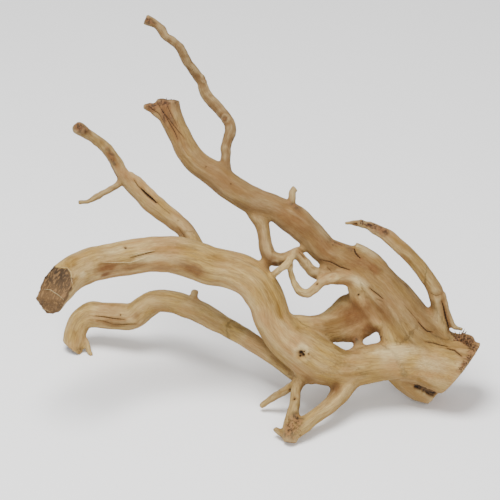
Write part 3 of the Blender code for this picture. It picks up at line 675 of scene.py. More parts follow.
# Soft spots: pixel, radius across the grain and how much longer along it, and strength.
OCHRE_SPOTS = [
    ((72, 261), 4.6, 1.6, 1.0), ((74, 281), 2.4, 2.4, 0.8), ((88, 282), 3.0, 2.0, 0.5),
    ((110, 250), 4.0, 3.0, 0.3), ((398, 243), 2.8, 3.0, 0.8), ((412, 262), 2.8, 3.5, 0.9),
    ((425, 280), 2.6, 3.0, 0.7), ((160, 249), 3.5, 2.5, 0.5), ((183, 247), 3.0, 2.0, 0.6),
    ((217, 257), 3.5, 2.0, 0.6), ((272, 297), 4.0, 2.5, 0.8), ((278, 310), 4.0, 2.0, 0.9),
    ((75, 335), 3.0, 1.6, 0.7), ((300, 329), 3.0, 1.5, 0.5), ((452, 345), 5.0, 2.0, 0.6),
    ((405, 250), 2.5, 3.0, 0.8), ((418, 265), 2.5, 3.0, 0.7), ((370, 365), 3.0, 2.0, 0.5),
    ((350, 374), 3.0, 2.0, 0.5), ((163, 192), 2.5, 2.5, 0.4), ((230, 175), 3.0, 2.5, 0.4),
]
# The brown spots are partly stains and partly painted shade in the shaded bands of trunk, web and
# arm.
STAIN_AND_SHADE_SPOTS = [
    ((192, 269), 5.5, 2.2, 0.9), ((165, 268), 3.5, 3.0, 0.5), ((108, 268), 4.0, 2.6, 1.0),
    ((130, 267), 3.0, 4.0, 0.8), ((106, 274), 3.0, 1.6, 1.0), ((165, 110), 5.5, 2.4, 0.85),
    ((173, 128), 4.0, 3.0, 0.7), ((184, 144), 3.0, 3.0, 0.45), ((150, 106), 4.0, 1.6, 0.9),
    ((112, 158), 3.4, 2.6, 0.9), ((126, 176), 2.4, 2.4, 0.4), ((82, 129), 4.0, 1.5, 0.9),
    ((206, 162), 5.0, 3.0, 0.35), ((236, 186), 6.0, 3.0, 0.45), ((262, 210), 6.0, 3.0, 0.5),
    ((284, 216), 6.0, 2.6, 0.5), ((305, 226), 7.0, 2.4, 0.6), ((325, 248), 6.0, 2.2, 0.6),
    ((262, 236), 3.6, 2.6, 0.5), ((270, 258), 3.4, 2.0, 0.8), ((405, 258), 1.6, 5.0, 0.8),
    ((424, 286), 2.0, 4.0, 0.8), ((448, 318), 2.0, 4.0, 0.7), ((376, 227), 4.0, 2.6, 0.8),
    ((418, 386), 4.5, 2.0, 0.7), ((112, 322), 4.0, 3.0, 0.6), ((137, 315), 2.5, 1.6, 0.7),
    ((374, 269), 4.5, 1.3, 0.9), ((358, 262), 6.5, 1.6, 0.7), ((295, 220), 3.0, 2.0, 0.6),
    ((356, 313), 10.0, 1.6, 0.9), ((340, 325), 7.0, 2.0, 0.5), ((385, 312), 5.0, 2.4, 0.5),
    ((370, 328), 6.0, 1.3, 0.9), ((336, 388), 4.0, 1.6, 0.8), ((308, 378), 3.5, 1.6, 0.6),
    ((345, 283), 4.0, 1.6, 0.6), ((300, 281), 4.0, 2.0, 0.5),
]
BARK_SPOTS = [
    ((152, 106), 3.4, 1.6, 1.0), ((165, 101), 3.2, 1.6, 0.9), ((175, 102), 2.6, 1.3, 0.6),
    ((362, 222), 2.4, 2.0, 0.6), ((372, 226), 2.8, 2.0, 0.7), ((406, 286), 1.4, 1.6, 0.8),
    ((163, 114), 1.5, 6.0, 0.8), ((171, 118), 1.2, 5.0, 0.6), ((79, 127), 3.6, 1.3, 1.0),
    ((110, 152), 1.6, 3.5, 0.8), ((114, 163), 1.6, 3.0, 0.9), ((225, 119), 2.0, 1.6, 0.6),
    ((204, 80), 1.2, 2.0, 0.5), ((294, 206), 3.0, 1.8, 0.8), ((383, 231), 3.0, 1.8, 0.9),
    ((336, 243), 1.8, 4.0, 0.8), ((350, 249), 1.8, 2.4, 0.8), ((275, 264), 2.0, 1.3, 0.8),
    ((149, 21), 2.4, 2.4, 1.0), ((353, 223), 1.6, 2.0, 0.6), ((356, 341), 3.0, 1.2, 0.9),
    ((86, 130), 2.6, 1.4, 0.6),
]
TORN_SPOTS = [
    ((296, 419), 5.5, 1.2, 1.0), ((290, 430), 5.0, 1.3, 1.0), ((460, 337), 3.4, 1.3, 1.0),
    ((467, 338), 4.2, 1.3, 1.0), ((474, 342), 4.2, 1.3, 1.0), ((475, 348), 4.0, 1.2, 1.0),
    ((472, 353), 3.6, 1.2, 1.0), ((468, 359), 3.0, 1.2, 1.0), ((464, 365), 2.4, 1.2, 0.9),
    ((459, 371), 1.8, 1.2, 0.7), ((80, 350), 2.0, 1.2, 0.6), ((430, 392), 3.5, 1.3, 0.7),
]
# The pale spots are painted highlights where light falls on the tops of the limbs.
HIGHLIGHT_SPOTS = [
    ((262, 205), 4.0, 4.0, 0.7), ((320, 230), 4.0, 3.0, 0.7), ((367, 250), 3.5, 3.0, 0.8),
    ((303, 349), 3.5, 1.3, 0.8), ((360, 282), 3.0, 3.0, 0.8), ((395, 352), 6.0, 3.0, 0.7),
    ((430, 365), 6.0, 2.0, 0.5), ((150, 258), 3.0, 4.0, 0.6), ((115, 250), 3.5, 3.0, 0.6),
    ((82, 275), 2.0, 1.4, 0.7), ((436, 318), 3.0, 3.0, 0.5),
]

print(len(CRACKS), "cracks,", len(PITS), "pits,", len(KNOTS), "knots")

# %% [markdown]
# A crack is thinner than the skin's faces, so the faces near each thin mark are cut twice into
# four. Finer faces everywhere would make the mesh far heavier and show no more.

# %% Draw the thin marks
class Line:
    """A thin mark: its points in millimetres, its half widths, thinner at its ends, and depth."""

    def __init__(self, points, width, depth):
        self.points, self.width, self.depth = np.asarray(points) / MM, width, depth
        share = np.linspace(0.0, 1.0, len(points)) if len(points) > 1 else np.array([0.5])
        uneven = 0.85 + 0.15 * np.sin(share * 0.9 * len(points))
        self.widths = width * uneven * (0.25 + 0.75 * np.sqrt(np.sin(math.pi * share).clip(0, 1)))


def wandering_crack(rng, faces_away):
    """A crack along the grain that starts at a random place on the side away from the eye."""
    start = faces_away[rng.randrange(len(faces_away))]
    place, length = start.copy(), rng.uniform(9.0, 26.0)
    points = [place]
    for _ in range(int(length)):
        way = Vector(grain_of(np.array([place]) / MM)[2][0])
        place = surface.find_nearest(place + way * MM * rng.uniform(0.9, 1.1))[0]
        points.append(place)
    return Line([p[:] for p in points], rng.uniform(0.3, 0.55), rng.uniform(0.3, 0.8))


rng = random.Random(SEED)
away_side = [
    v.co.copy()
    for v in skin.vertices
    if v.normal.dot(facing) > 0.1 and v.co.z > 0.006
]
thin_marks = [Line(line_behind(pixels), width, depth) for width, depth, pixels in CRACKS]
thin_marks += [Line(line_behind(pixels), width, -height) for width, height, pixels in RIDGES]
thin_marks += [
    Line([behind_pixel(*pixel)[:]], radius, depth) for pixel, radius, depth in PITS
]
thin_marks += [wandering_crack(rng, away_side) for _ in range(BACK_CRACKS)]
thin_marks += [
    Line([away_side[rng.randrange(len(away_side))][:]], rng.uniform(0.5, 1.1), rng.uniform(0.3, 0.8))
    for _ in range(BACK_PITS)
]


def distances(points, mark, reach):
    """Which points lie within reach of a thin mark, how far from it, and its half width there."""
    low, high = mark.points.min(0) - reach, mark.points.max(0) + reach
    near = np.where(np.all((points > low) & (points < high), axis=1))[0]
    if len(near) == 0:
        return near, np.zeros(0), np.zeros(0)
    gaps = points[near][:, None] - mark.points[None]
    away = np.sqrt((gaps**2).sum(2))
    width, away = mark.widths[away.argmin(1)], away.min(1)
    return near[away < reach], away[away < reach], width[away < reach]


def refine(mesh, rounds):
    """Cuts the faces near every thin mark into four, rounds times."""
    bm = bmesh.new()
    bm.from_mesh(mesh)
    for _ in range(rounds):
        bm.verts.ensure_lookup_table()
        points = np.array([v.co[:] for v in bm.verts]) / MM
        chosen = np.zeros(len(points), bool)
        for mark in thin_marks:
            near, _, _ = distances(points, mark, mark.width + FINE_MARGIN)
            chosen[near] = True
        bm.verts.index_update()
        edges = [e for e in bm.edges if chosen[e.verts[0].index] and chosen[e.verts[1].index]]
        bmesh.ops.subdivide_edges(bm, edges=edges, cuts=1, use_grid_fill=True)
    bm.to_mesh(mesh)
    bm.free()


refine(skin, FINE_ROUNDS)
print("refined skin:", len(skin.polygons), "faces")

# %% [markdown]
# The relief could be bump alone, but low light along a limb shows real flutes, so the skin itself
# is moved in and out: slow lumps, flutes that run with the grain, fine fibres, and the marks.
# The sawn face and the soles stay flat, because the solid rests and mounts on them.

# %% Weather the skin
points = np.array([v.co[:] for v in skin.vertices]) / MM
normals = np.array([v.normal[:] for v in skin.vertices])
grain, grain_share, grain_run, girth, browner = grain_of(points)


def along_grain(wide, long, seed):
    """Noise drawn out along the grain, blended where two limbs meet."""
    first, second = (noise_at(local + seed, (wide, wide, long)) for local in grain)
    return grain_share * first + (1 - grain_share) * second


def soft_spots(spots):
    """How much of a kind of spot lies on each point, from 0 to 1."""
    total = np.zeros(len(points))
    wobble = noise_at(points + 40.0, 4.0)
    for pixel, radius, stretch, strength in spots:
        centre = np.array(pixel if len(pixel) == 3 else behind_pixel(*pixel)[:]) / MM
        near = np.where(((points - centre) ** 2).sum(1) < (radius * stretch * 1.6) ** 2)[0]
        if len(near) == 0:
            continue
        middle = near[((points[near] - centre) ** 2).sum(1).argmin()]
        gap = points[near] - centre
        along = gap @ grain_run[middle]
        across = np.sqrt(np.maximum((gap**2).sum(1) - along**2, 0.0))
        reach = np.sqrt(across**2 + (along / stretch) ** 2) / radius + 0.35 * wobble[near]
        same_side = smooth(normals[near] @ normals[middle], -0.2, 0.3)
        total[near] = np.maximum(total[near], strength * smooth(-reach, -1.3, -0.3) * same_side)
    return total


def scattered_spots(count, sizes):
    """Spots at random places on the side away from the eye."""
    found = []
    for _ in range(count):
        place = away_side[rng.randrange(len(away_side))]
        found.append((place[:], rng.uniform(*sizes), rng.uniform(1.3, 3.0), rng.uniform(0.4, 0.9)))
    return found


def on_patch(outline):
    """How much each point that the eye sees lies inside an outline of pixels."""
    seen = seen_at(points)
    inside, away = np.zeros(len(points), bool), np.full(len(points), np.inf)
    for start, end in zip(outline, outline[1:] + outline[:1]):
        (x0, y0), step = start, np.subtract(end, start)
        level = x0 + (seen[:, 1] - y0) * step[0] / (step[1] or 1.0)
        inside ^= ((y0 > seen[:, 1]) != (end[1] > seen[:, 1])) & (seen[:, 0] < level)
        share = np.clip((seen - start) @ step / (step @ step), 0.0, 1.0)
        gap = seen - start - share[:, None] * step
        away = np.minimum(away, np.sqrt((gap**2).sum(1)))
    depth = np.where(inside, away, -away) + 0.7 * noise_at(points, 1.5)
    return smooth(depth, -0.6, 0.6) * smooth(normals @ -np.array(facing), -0.3, 0.1)


def on_cut(strand, reach=1.0):
    """How much each point lies on the cuts of a strand."""
    found = np.zeros(len(points))
    for name, place, way in CUTS:
        if name != strand:
            continue
        start = point_on_sheet(place)
        ends = stood_up([start, start + way])
        normal = (ends[1] - ends[0]) / np.linalg.norm(ends[1] - ends[0])
        past = (points - ends[0] / MM) @ normal
        near = ((points - ends[0] / MM) ** 2).sum(1) < CUT_REACH[strand] ** 2
        flat = smooth(normals @ normal, 0.55, 0.85)
        found = np.maximum(found, smooth(past, -reach - 0.8, -reach) * flat * near)
    return found


sawn_face = on_cut("stump")
broken_arm = np.maximum(on_cut("arm"), on_patch(BREAK_OUTLINE))
broken_mast = on_cut("mast")
leg_tip = on_cut("leg")
still = np.maximum(sawn_face, smooth(-points[:, 2], -1.5, -0.3))

torn = soft_spots(TORN_SPOTS)
brown = soft_spots(STAIN_AND_SHADE_SPOTS + scattered_spots(10, (2.0, 6.0)))
ochre = soft_spots(OCHRE_SPOTS + scattered_spots(10, (2.0, 4.5)))
bark = soft_spots(BARK_SPOTS + scattered_spots(7, (1.2, 2.6)))
pale = soft_spots(HIGHLIGHT_SPOTS)

lumps = noise_at(points, 11.0)
knobs = along_grain(7.0, 8.0, 71.0)
flutes = along_grain(4.2, 40.0, 3.0)
ribs = 1 - 2 * np.abs(along_grain(3.4, 38.0, 17.0))
fibres = along_grain(1.5, 24.0, 29.0)
ragged = noise_at(points, 1.6)
chipped = np.abs(noise_at(points + 9.0, (0.9, 0.9, 2.6)))

thin = smooth(-girth, -5.0, -3.0)
twig_knobs = noise_at(points + 23.0, 3.6)

# The heights of the layers of relief, in millimetres, each times its own noise.
lift = 0.35 * lumps + 0.45 * knobs + 0.55 * flutes + 0.22 * ribs + 0.10 * fibres
lift += thin * 0.45 * twig_knobs
lift += bark * (0.30 + 0.75 * ragged)
lift += torn * (0.8 * ragged + 0.6 * chipped)
lift += broken_arm * (0.35 * along_grain(1.4, 2.0, 51.0) + 0.45 * along_grain(1.3, 9.0, 57.0))
lift *= 1 - still

for pixel, radius, height in KNOTS:
    centre = np.array(behind_pixel(*pixel)[:]) / MM
    away = np.sqrt(((points - centre) ** 2).sum(1)) / radius
    lift += height * np.exp(-(((away - 1.0) / 0.45) ** 2)) * (1 + 0.4 * ragged)

# Cracks and pits are cut in and painted near black, with warm brown on their slopes, as painted
# shade; raised edges are painted paler, as painted highlight.
crack_shade, groove_shade, ridge_highlight = np.zeros(len(points)), np.zeros(len(points)), np.zeros(len(points))
for mark in thin_marks:
    near, away, width = distances(points, mark, mark.width + GROOVE)
    shape = smooth(-away / width, -1.15, -0.25)
    slope = smooth(-away, -mark.width - GROOVE, 0.0)
    lift[near] -= mark.depth * (shape + 0.35 * slope) * (1 - still[near])
    if mark.depth < 0:
        ridge_highlight[near] = np.maximum(ridge_highlight[near], shape)
        continue
    crack_shade[near] = np.maximum(crack_shade[near], shape * min(1.0, 0.45 + 0.6 * mark.depth))
    groove_shade[near] = np.maximum(groove_shade[near], slope * min(1.0, mark.depth))

# The hollow under the heel is dug in and painted dark inside, as painted shade.
heel_hollow_shade = np.zeros(len(points))
hollow_line = Line(line_behind(HEEL_HOLLOW_LINE), HEEL_HOLLOW_RADIUS, HEEL_HOLLOW_DEPTH)
near, away, _ = distances(points, hollow_line, 2 * HEEL_HOLLOW_RADIUS)
heel_hollow_shade[near] = smooth(-away - 1.6 * ragged[near], -HEEL_HOLLOW_RADIUS, -0.2 * HEEL_HOLLOW_RADIUS)
heel_hollow_shade *= smooth(normals @ -np.array(facing), -0.6, -0.1) * (1 - still)
lift -= heel_hollow_shade * (HEEL_HOLLOW_DEPTH + 0.8 * along_grain(1.3, 9.0, 63.0))

moved = points + normals * lift[:, None]
moved[:, 2] = np.maximum(moved[:, 2], 0.0)
print("relief from", round(lift.min(), 2), "to", round(lift.max(), 2), "mm")

# %% [markdown]
# The wood is painted browner where it is sheltered and in hollows, as painted shade, and paler on
# ridges, as painted highlight and wear. How sheltered a point is comes from short rays: the more of
# them meet wood, the deeper it sits.

# %% Measure where shade and highlight are painted
def blurred(values, rounds):
    """Values averaged with those of the neighbouring points, that many times."""
    ends = np.array([e.vertices[:] for e in skin.edges])
    count = np.bincount(ends.ravel(), minlength=len(values))
    for _ in range(rounds):
        total = np.bincount(ends[:, 0], values[ends[:, 1]], len(values))
        total += np.bincount(ends[:, 1], values[ends[:, 0]], len(values))
        values = 0.5 * values + 0.5 * total / np.maximum(count, 1)
    return values


def occluded_share(reach, rays):
    """The share of short rays from each point that meet wood."""
    ways = [Vector(w).normalized() for w in spread_ways(rays)]
    share = np.empty(len(points))
    for i, (place, normal) in enumerate(zip(moved * MM, normals)):
        normal = Vector(normal)
        start = Vector(place) + normal * 0.9 * MM
        met = 0
        for way in ways:
            ray = way if way.dot(normal) > 0 else -way
            if surface.ray_cast(start, ray, reach * MM)[0] is not None:
                met += 1
        share[i] = met / rays
    return share


def spread_ways(count):
    """Directions spread evenly over half a ball, on a sunflower spiral."""
    turn = math.pi * (3 - math.sqrt(5))
    for k in range(count):
        up = (k + 0.5) / count
        flat = math.sqrt(1 - up * up)
        yield (flat * math.cos(turn * k), flat * math.sin(turn * k), up)


occlusion_shade = blurred(occluded_share(OCCLUSION_REACH, OCCLUSION_RAYS), 6)
even = np.stack([blurred(moved[:, k], 14) for k in range(3)], axis=1)
hollow = blurred(((even - moved) * normals).sum(1), 2)
print("shelter up to", round(occlusion_shade.max(), 2), "; hollow up to", round(hollow.max(), 2), "mm")

# %% [markdown]
# The grid is fine all over, but only bends and marks need small faces. Collapsing the edges that
# matter least keeps the look at less than half the triangles, which a coarser grid would not.

# %% Put the skin together
skin.vertices.foreach_set("co", (moved * MM).astype(np.float32).ravel())
skin.update()


def keep(name, values):
    """Stores one number, or one vector, per point on the skin, for the wood's nodes to read."""
    kind = "FLOAT" if values.ndim == 1 else "FLOAT_VECTOR"
    layer = skin.attributes.new(name, kind, "POINT")
    field = "value" if values.ndim == 1 else "vector"
    layer.data.foreach_set(field, values.astype(np.float32).ravel())


def triangles_in(mesh):
    """How many triangles the mesh's faces make."""
    return sum(len(face.vertices) - 2 for face in mesh.polygons)


drawn_out = np.array([1.0, 1.0, 1 / GRAIN_STRETCH])
# Of what is kept, the shelter, the undersides, the hollows, the cracks and grooves and the heel's
# hollow carry painted shade, the pale spots and raised edges painted highlight, and the brown spots
# both stains and painted shade.
kept = {
    "grain_first": grain[0] * drawn_out, "grain_second": grain[1] * drawn_out,
    "grain_share": grain_share, "occlusion_shade": occlusion_shade, "hollow": hollow,
    "underside_shade": smooth(-normals[:, 2], -0.1, 0.9), "brown": brown, "ochre": ochre, "bark": bark,
    "pale": pale, "torn": torn, "crack_shade": crack_shade, "groove_shade": groove_shade, "ridge_highlight": ridge_highlight,
    "browner": browner, "heel_hollow_shade": heel_hollow_shade, "sawn": sawn_face,
    "broken": np.maximum(np.maximum(broken_arm, broken_mast), leg_tip),
}
for name, values in kept.items():
    keep(name, values)
skin.shade_smooth()
whole = triangles_in(skin)
root = placed("weathered_root", skin)
thinned = root.modifiers.new("thinned", "DECIMATE")
thinned.ratio = min(1.0, MOST_TRIANGLES / whole)
graph = bpy.context.evaluated_depsgraph_get()
root.data = bpy.data.meshes.new_from_object(root.evaluated_get(graph))
root.modifiers.clear()
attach(root, "root")
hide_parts(NODE)
print("root:", whole, "triangles, thinned to", triangles_in(root.data))

# %% [markdown]
# A material is a graph of nodes. Building it link by link hides the idea, so one small class lets
# the graph be written as sums: a signal is the value at a socket, and adding or multiplying
# signals adds the Math node that does it. One method adds every other node.

# %% Write shader maths as sums
class Signal:
    """A value that changes over the surface, held at a node's output."""

    def __init__(self, finish, socket):
        self.finish, self.socket = finish, socket

    def __add__(self, other):
        return self.finish.math("ADD", self, other)

    def __sub__(self, other):
        return self.finish.math("SUBTRACT", self, other)

    def __rsub__(self, other):
        return self.finish.math("SUBTRACT", other, self)

    def __mul__(self, other):
        return self.finish.math("MULTIPLY", self, other)

    def __truediv__(self, other):
        return self.finish.math("DIVIDE", self, other)

    __radd__ = __add__
    __rmul__ = __mul__


class Finish:
    """A material under construction."""

    def __init__(self, name):
        self.material = bpy.data.materials.new(name)
        self.material.use_nodes = True
        self.tree = self.material.node_tree
        self.shader = self.tree.nodes["Principled BSDF"]

    def node(self, kind, settings=None, inputs=None, output=0):
        """Adds a node: its settings first, then the values or links of its sockets."""
        made = self.tree.nodes.new(kind)
        for key, value in (settings or {}).items():
            setattr(made, key, value)
        for key, value in (inputs or {}).items():
            self.set(made.inputs[key], value)
        return Signal(self, made.outputs[output])

    def set(self, socket, value):
        if isinstance(value, Signal):
            self.tree.links.new(value.socket, socket)
        else:
            socket.default_value = value

    def math(self, operation, first, second=0.0):
        return self.node("ShaderNodeMath", {"operation": operation}, {0: first, 1: second})

    def stored(self, name, output="Fac"):
        """What the skin's points store under this name."""
        return self.node("ShaderNodeAttribute", {"attribute_name": name}, output=output)

    def step(self, value, low, high):
        """0 at low, 1 at high, and a soft step between."""
        ends = {"Value": value, "From Min": low, "From Max": high}
        return self.node("ShaderNodeMapRange", {"interpolation_type": "SMOOTHSTEP"}, ends)

    def mix(self, share, first, second, blend="MIX"):
        """One colour faded into another by a share."""
        settings = {"data_type": "RGBA", "blend_type": blend, "clamp_factor": True}
        return self.node("ShaderNodeMix", settings, {0: share, 6: first, 7: second}, 2)

    def coats(self, tone, layers):
        """The colour with one coat after another faded over it, each by its share."""
        for share, coat in layers:
            tone = self.mix(share, tone, coat)
        return tone

    def scaled(self, vector, sizes):
        settings = {"operation": "MULTIPLY"}
        return self.node("ShaderNodeVectorMath", settings, {0: vector, 1: sizes})

    def noise(self, vector, scale, detail=2.0, roughness=0.5):
        """Soft noise from 0 to 1; scale is how many waves there are in each unit of the vector."""
        values = {"Vector": vector, "Scale": scale, "Detail": detail, "Roughness": roughness}
        return self.node("ShaderNodeTexNoise", {"normalize": True}, values)

    def place(self):
        """The point on the object, in metres."""
        return self.node("ShaderNodeTexCoord", output="Object")

    def bump(self, height, depth):
        """Bends the normal as if the height, in units of depth metres, were there."""
        values = {"Height": height, "Distance": depth, "Strength": 1.0}
        return self.node("ShaderNodeBump", inputs=values)


# %% [markdown]
# Bare spiderwood is pale tan, with greyer and yellower streaks along the grain. The bark's last
# traces are brown and water leaves ochre stains. Warm brown is also painted as shade in crotches,
# hollows, undersides and crack grooves, near black as shade in cracks, pits and the heel's hollow,
# and paler tan as highlight on lit patches and ridges. The colours are layered in that order:
# streaks, then stains, painted shade and highlight by the stored spots, then cracks and cut ends.

# %% Make the weathered wood
def colour(red, green, blue):
    """A colour given as on a screen, from 0 to 255, in the shader's own linear numbers."""
    linear = [
        (c / 255 / 12.92) if c <= 10 else ((c / 255 + 0.055) / 1.055) ** 2.4
        for c in (red, green, blue)
    ]
    return (*linear, 1.0)


# The wood's colours.
TAN = colour(158, 125, 72)
PALE = colour(182, 156, 104)
GREY = colour(138, 114, 74)
YELLOW = colour(160, 132, 62)
ROSY = colour(152, 112, 68)
# Paler tan for painted highlight and wear.
HIGHLIGHT_AND_WEAR = colour(200, 182, 136)
TWIG_BROWN = colour(98, 70, 36)
# Warm brown for painted shade and for brown stains.
STAIN_AND_SHADE_BROWN = colour(108, 70, 32)
OLIVE_BROWN = colour(106, 78, 26)
OCHRE = colour(120, 86, 18)
FIBRE_BROWN = colour(200, 178, 148)
FLECK = colour(104, 72, 38)
BARK_DARK = colour(48, 30, 16)
BARK_LIGHT = colour(112, 76, 44)
TORN_DARK = colour(56, 36, 20)
TORN_LIGHT = colour(132, 94, 56)
END_DARK = colour(54, 39, 21)
END_LIGHT = colour(96, 71, 42)
END_STREAK = colour(140, 106, 66)
# The lighter painted shade in the heel's hollow.
HOLLOW_SHADE_LIGHT = colour(96, 70, 42)
SAWN_DARK = colour(112, 74, 40)
SAWN_LIGHT = colour(164, 122, 74)
# Near black: painted shade in cracks, pits and the heel's hollow.
CRACK_SHADE = colour(28, 18, 9)


def weathered_wood():
    wood = Finish("weathered_wood")
    first, second = wood.stored("grain_first", "Vector"), wood.stored("grain_second", "Vector")
    share = wood.stored("grain_share")

    def along(scale, detail=2.0):
        one = wood.noise(first, scale, detail)
        two = wood.noise(second, scale, detail)
        return two + (one - two) * share

    broad = wood.step(along(0.16), 0.34, 0.66)
    streak = wood.step(along(0.55, 3.0), 0.36, 0.66)
    fine = wood.step(along(2.4, 3.0), 0.34, 0.66)
    blotch = wood.noise(wood.place(), 38.0, 3.0)
    mottle = wood.noise(wood.place(), 420.0, 3.0)
    stain = wood.step(along(0.10, 3.0), 0.52, 0.70)
    vein = wood.math("ABSOLUTE", along(0.42, 1.0) - 0.5)
    veins = wood.step(vein, 0.035, 0.006) * wood.step(blotch, 0.42, 0.58)

    patchy = wood.noise(wood.place(), 60.0, 4.0, 0.6)
    # Painted shade: warm brown where short rays from the wood meet wood, in the crotches between
    # limbs.
    painted_occlusion = wood.step(wood.stored("occlusion_shade"), 0.12, 0.62)
    # Painted shade in the hollows, and painted highlight and wear on the ridges.
    deep = wood.step(wood.stored("hollow"), 0.03, 0.55)
    ridge_highlight_and_wear = wood.step(wood.stored("hollow"), -0.05, -0.45)
    tone = wood.coats(wood.mix(broad, TAN, PALE), [
        (wood.step(blotch, 0.45, 0.62) * 0.6, YELLOW),
        (wood.step(blotch, 0.50, 0.36) * 0.5, ROSY),
        (streak * 0.45, GREY),
        (stain * 0.7 * wood.step(patchy, 0.40, 0.60), OLIVE_BROWN),
        # Painted highlight on the lit patches.
        (wood.stored("pale") * 0.8, HIGHLIGHT_AND_WEAR),
        (wood.stored("browner") * (0.6 + patchy * 0.6), TWIG_BROWN),
        (painted_occlusion * 0.55, STAIN_AND_SHADE_BROWN),
        # Painted shade on the faces that look down.
        (wood.stored("underside_shade") * 0.18, STAIN_AND_SHADE_BROWN),
        (deep * 0.45, STAIN_AND_SHADE_BROWN),
        # Brown spots, partly stains and partly painted shade.
        (wood.stored("brown") * (0.7 + mottle * 0.5), STAIN_AND_SHADE_BROWN),
        (wood.stored("ochre") * (0.5 + streak * 0.5), OCHRE),
        (ridge_highlight_and_wear * 0.25, HIGHLIGHT_AND_WEAR),
    ])
    tone = wood.mix(fine * 0.45, tone, FIBRE_BROWN, "MULTIPLY")

    flecks = wood.step(along(3.4, 2.0), 0.64, 0.74)
    torn = wood.stored("torn")
    grained = along(0.9, 3.0)
    off_axis = wood.scaled(first, (1.0, 1.0, 0.0))
    off_axis = wood.node("ShaderNodeVectorMath", {"operation": "LENGTH"}, {0: off_axis}, 1)
    rings = wood.math("SINE", off_axis * 3.6 + blotch * 9.0)
    end_wood = wood.mix(wood.step(mottle * 0.3 + blotch * 0.7, 0.34, 0.66), END_LIGHT, END_DARK)
    end_wood = wood.mix(wood.step(grained, 0.50, 0.62) * 0.5, end_wood, END_STREAK)
    tone = wood.coats(tone, [
        (flecks * 0.3, FLECK),
        (veins * 0.3, FLECK),
        # Painted shade on the crack grooves' slopes.
        (wood.stored("groove_shade") * 0.6, STAIN_AND_SHADE_BROWN),
        (wood.stored("bark") * (0.55 + mottle * 0.8),
         wood.mix(wood.step(mottle, 0.4, 0.6), BARK_DARK, BARK_LIGHT)),
        (torn * 0.85, wood.mix(wood.step(mottle, 0.40, 0.58), TORN_DARK, TORN_LIGHT)),
        (wood.stored("broken"), end_wood),
        (wood.stored("sawn"), wood.mix(wood.step(rings, -0.4, 0.9), SAWN_LIGHT, SAWN_DARK)),
        # Painted shade in the hollow under the heel.
        (wood.step(wood.stored("heel_hollow_shade"), 0.10, 0.70),
         wood.mix(wood.step(grained * 0.6 + mottle * 0.4, 0.42, 0.60), HOLLOW_SHADE_LIGHT, CRACK_SHADE)),
        # Painted highlight on the raised edges.
        (wood.stored("ridge_highlight") * 0.45, HIGHLIGHT_AND_WEAR),
        # Painted shade in the cracks and pits.
        (wood.stored("crack_shade") * 0.9, CRACK_SHADE),
    ])

    height = fine * 0.35 + along(5.0) * 0.25 + mottle * 0.25 + torn * mottle * 1.2
    height = height - flecks * 0.3 - veins * 0.6
    wood.set(wood.shader.inputs["Base Color"], tone)
    wood.set(wood.shader.inputs["Roughness"], 0.86 - broad * 0.10 - wood.stored("ochre") * 0.12)
    wood.set(wood.shader.inputs["Normal"], wood.bump(height, 0.00035))
    wood.shader.inputs["Specular IOR Level"].default_value = 0.32
    return wood.material


root.data.materials.append(weathered_wood())
print("wood has", len(root.data.materials[0].node_tree.nodes), "nodes")

# %% [markdown]
# Torn ends bristle with fibres that no relief can show. Each fibre is a thin tapered tube, closed
# at both ends and rooted in the wood; a tuft is one piece, drawn with a fixed seed.

# %% Grow a tuft of fibres
def sheet_way(right, up, toward):
    """A direction on the sheet as a direction in the world."""
    return Vector(
        (
            right,
            up * math.sin(LEAN) - toward * math.cos(LEAN),
            up * math.cos(LEAN) + toward * math.sin(LEAN),
        )
    ).normalized()


def fibre(bm, path, radii, sides=5):
    """A closed tapered tube through the points of the path."""
    rings = []
    for k, (place, radius) in enumerate(zip(path, radii)):
        ahead = path[min(k + 1, len(path) - 1)] - path[max(k - 1, 0)]
        turn = ahead.to_track_quat("Z", "Y")
        ring = []
        for side in range(sides):
            angle = 2 * math.pi * side / sides
            offset = Vector((math.cos(angle), 0.7 * math.sin(angle), 0.0)) * radius
            ring.append(bm.verts.new(place + turn @ offset))
        rings.append(ring)
    for low, high in zip(rings, rings[1:]):
        for side in range(sides):
            after = (side + 1) % sides
            bm.faces.new((low[side], low[after], high[after], high[side]))
    bm.faces.new(rings[0][::-1])
    bm.faces.new(rings[-1])


def piece(name, bm, material):
    """Makes an object of the mesh that rides on the root."""
    mesh = as_mesh(name, bm)
    mesh.shade_smooth()
    mesh.materials.append(material)
    thing = placed(name, mesh)
    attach(thing, "root")
    print(name, len(mesh.polygons), "faces")
    return thing


def tuft(name, material, roots, way, count, length, radius, spread, seed):
    """Fibres that start on the wood behind random pixels of a patch and lean a way, in mm."""
    draw = random.Random(seed)
    bm = bmesh.new()
    (x0, y0), (x1, y1), half = roots
    for _ in range(count):
        share = draw.random()
        x = x0 + (x1 - x0) * share + draw.uniform(-half, half)
        y = y0 + (y1 - y0) * share + draw.uniform(-half, half)
        start = behind_pixel(x, y)
        lean = way + Vector([draw.gauss(0, spread) for _ in range(3)])
        bend = Vector([draw.gauss(0, 0.35) for _ in range(3)])
        long = draw.uniform(*length) * MM
        thick = draw.uniform(*radius) * MM
        path, radii = [start - lean.normalized() * 1.2 * MM], [thick]
        for k in range(1, 6):
            lean = lean + bend * 0.35
            path.append(path[-1] + lean.normalized() * long / 5)
            radii.append(thick * (1 - k / 5) ** 0.7 + 0.05 * MM)
        fibre(bm, path, radii)
    return piece(name, bm, material)


# %% Make the fibres' finish
def torn_wood(name, light, dark_tone):
    torn = Finish(name)
    speck = torn.noise(torn.place(), 900.0, 3.0)
    tone = torn.mix(torn.step(speck, 0.35, 0.65), dark_tone, light)
    torn.set(torn.shader.inputs["Base Color"], tone)
    torn.set(torn.shader.inputs["Normal"], torn.bump(speck, 0.0002))
    torn.shader.inputs["Roughness"].default_value = 0.9
    return torn.material


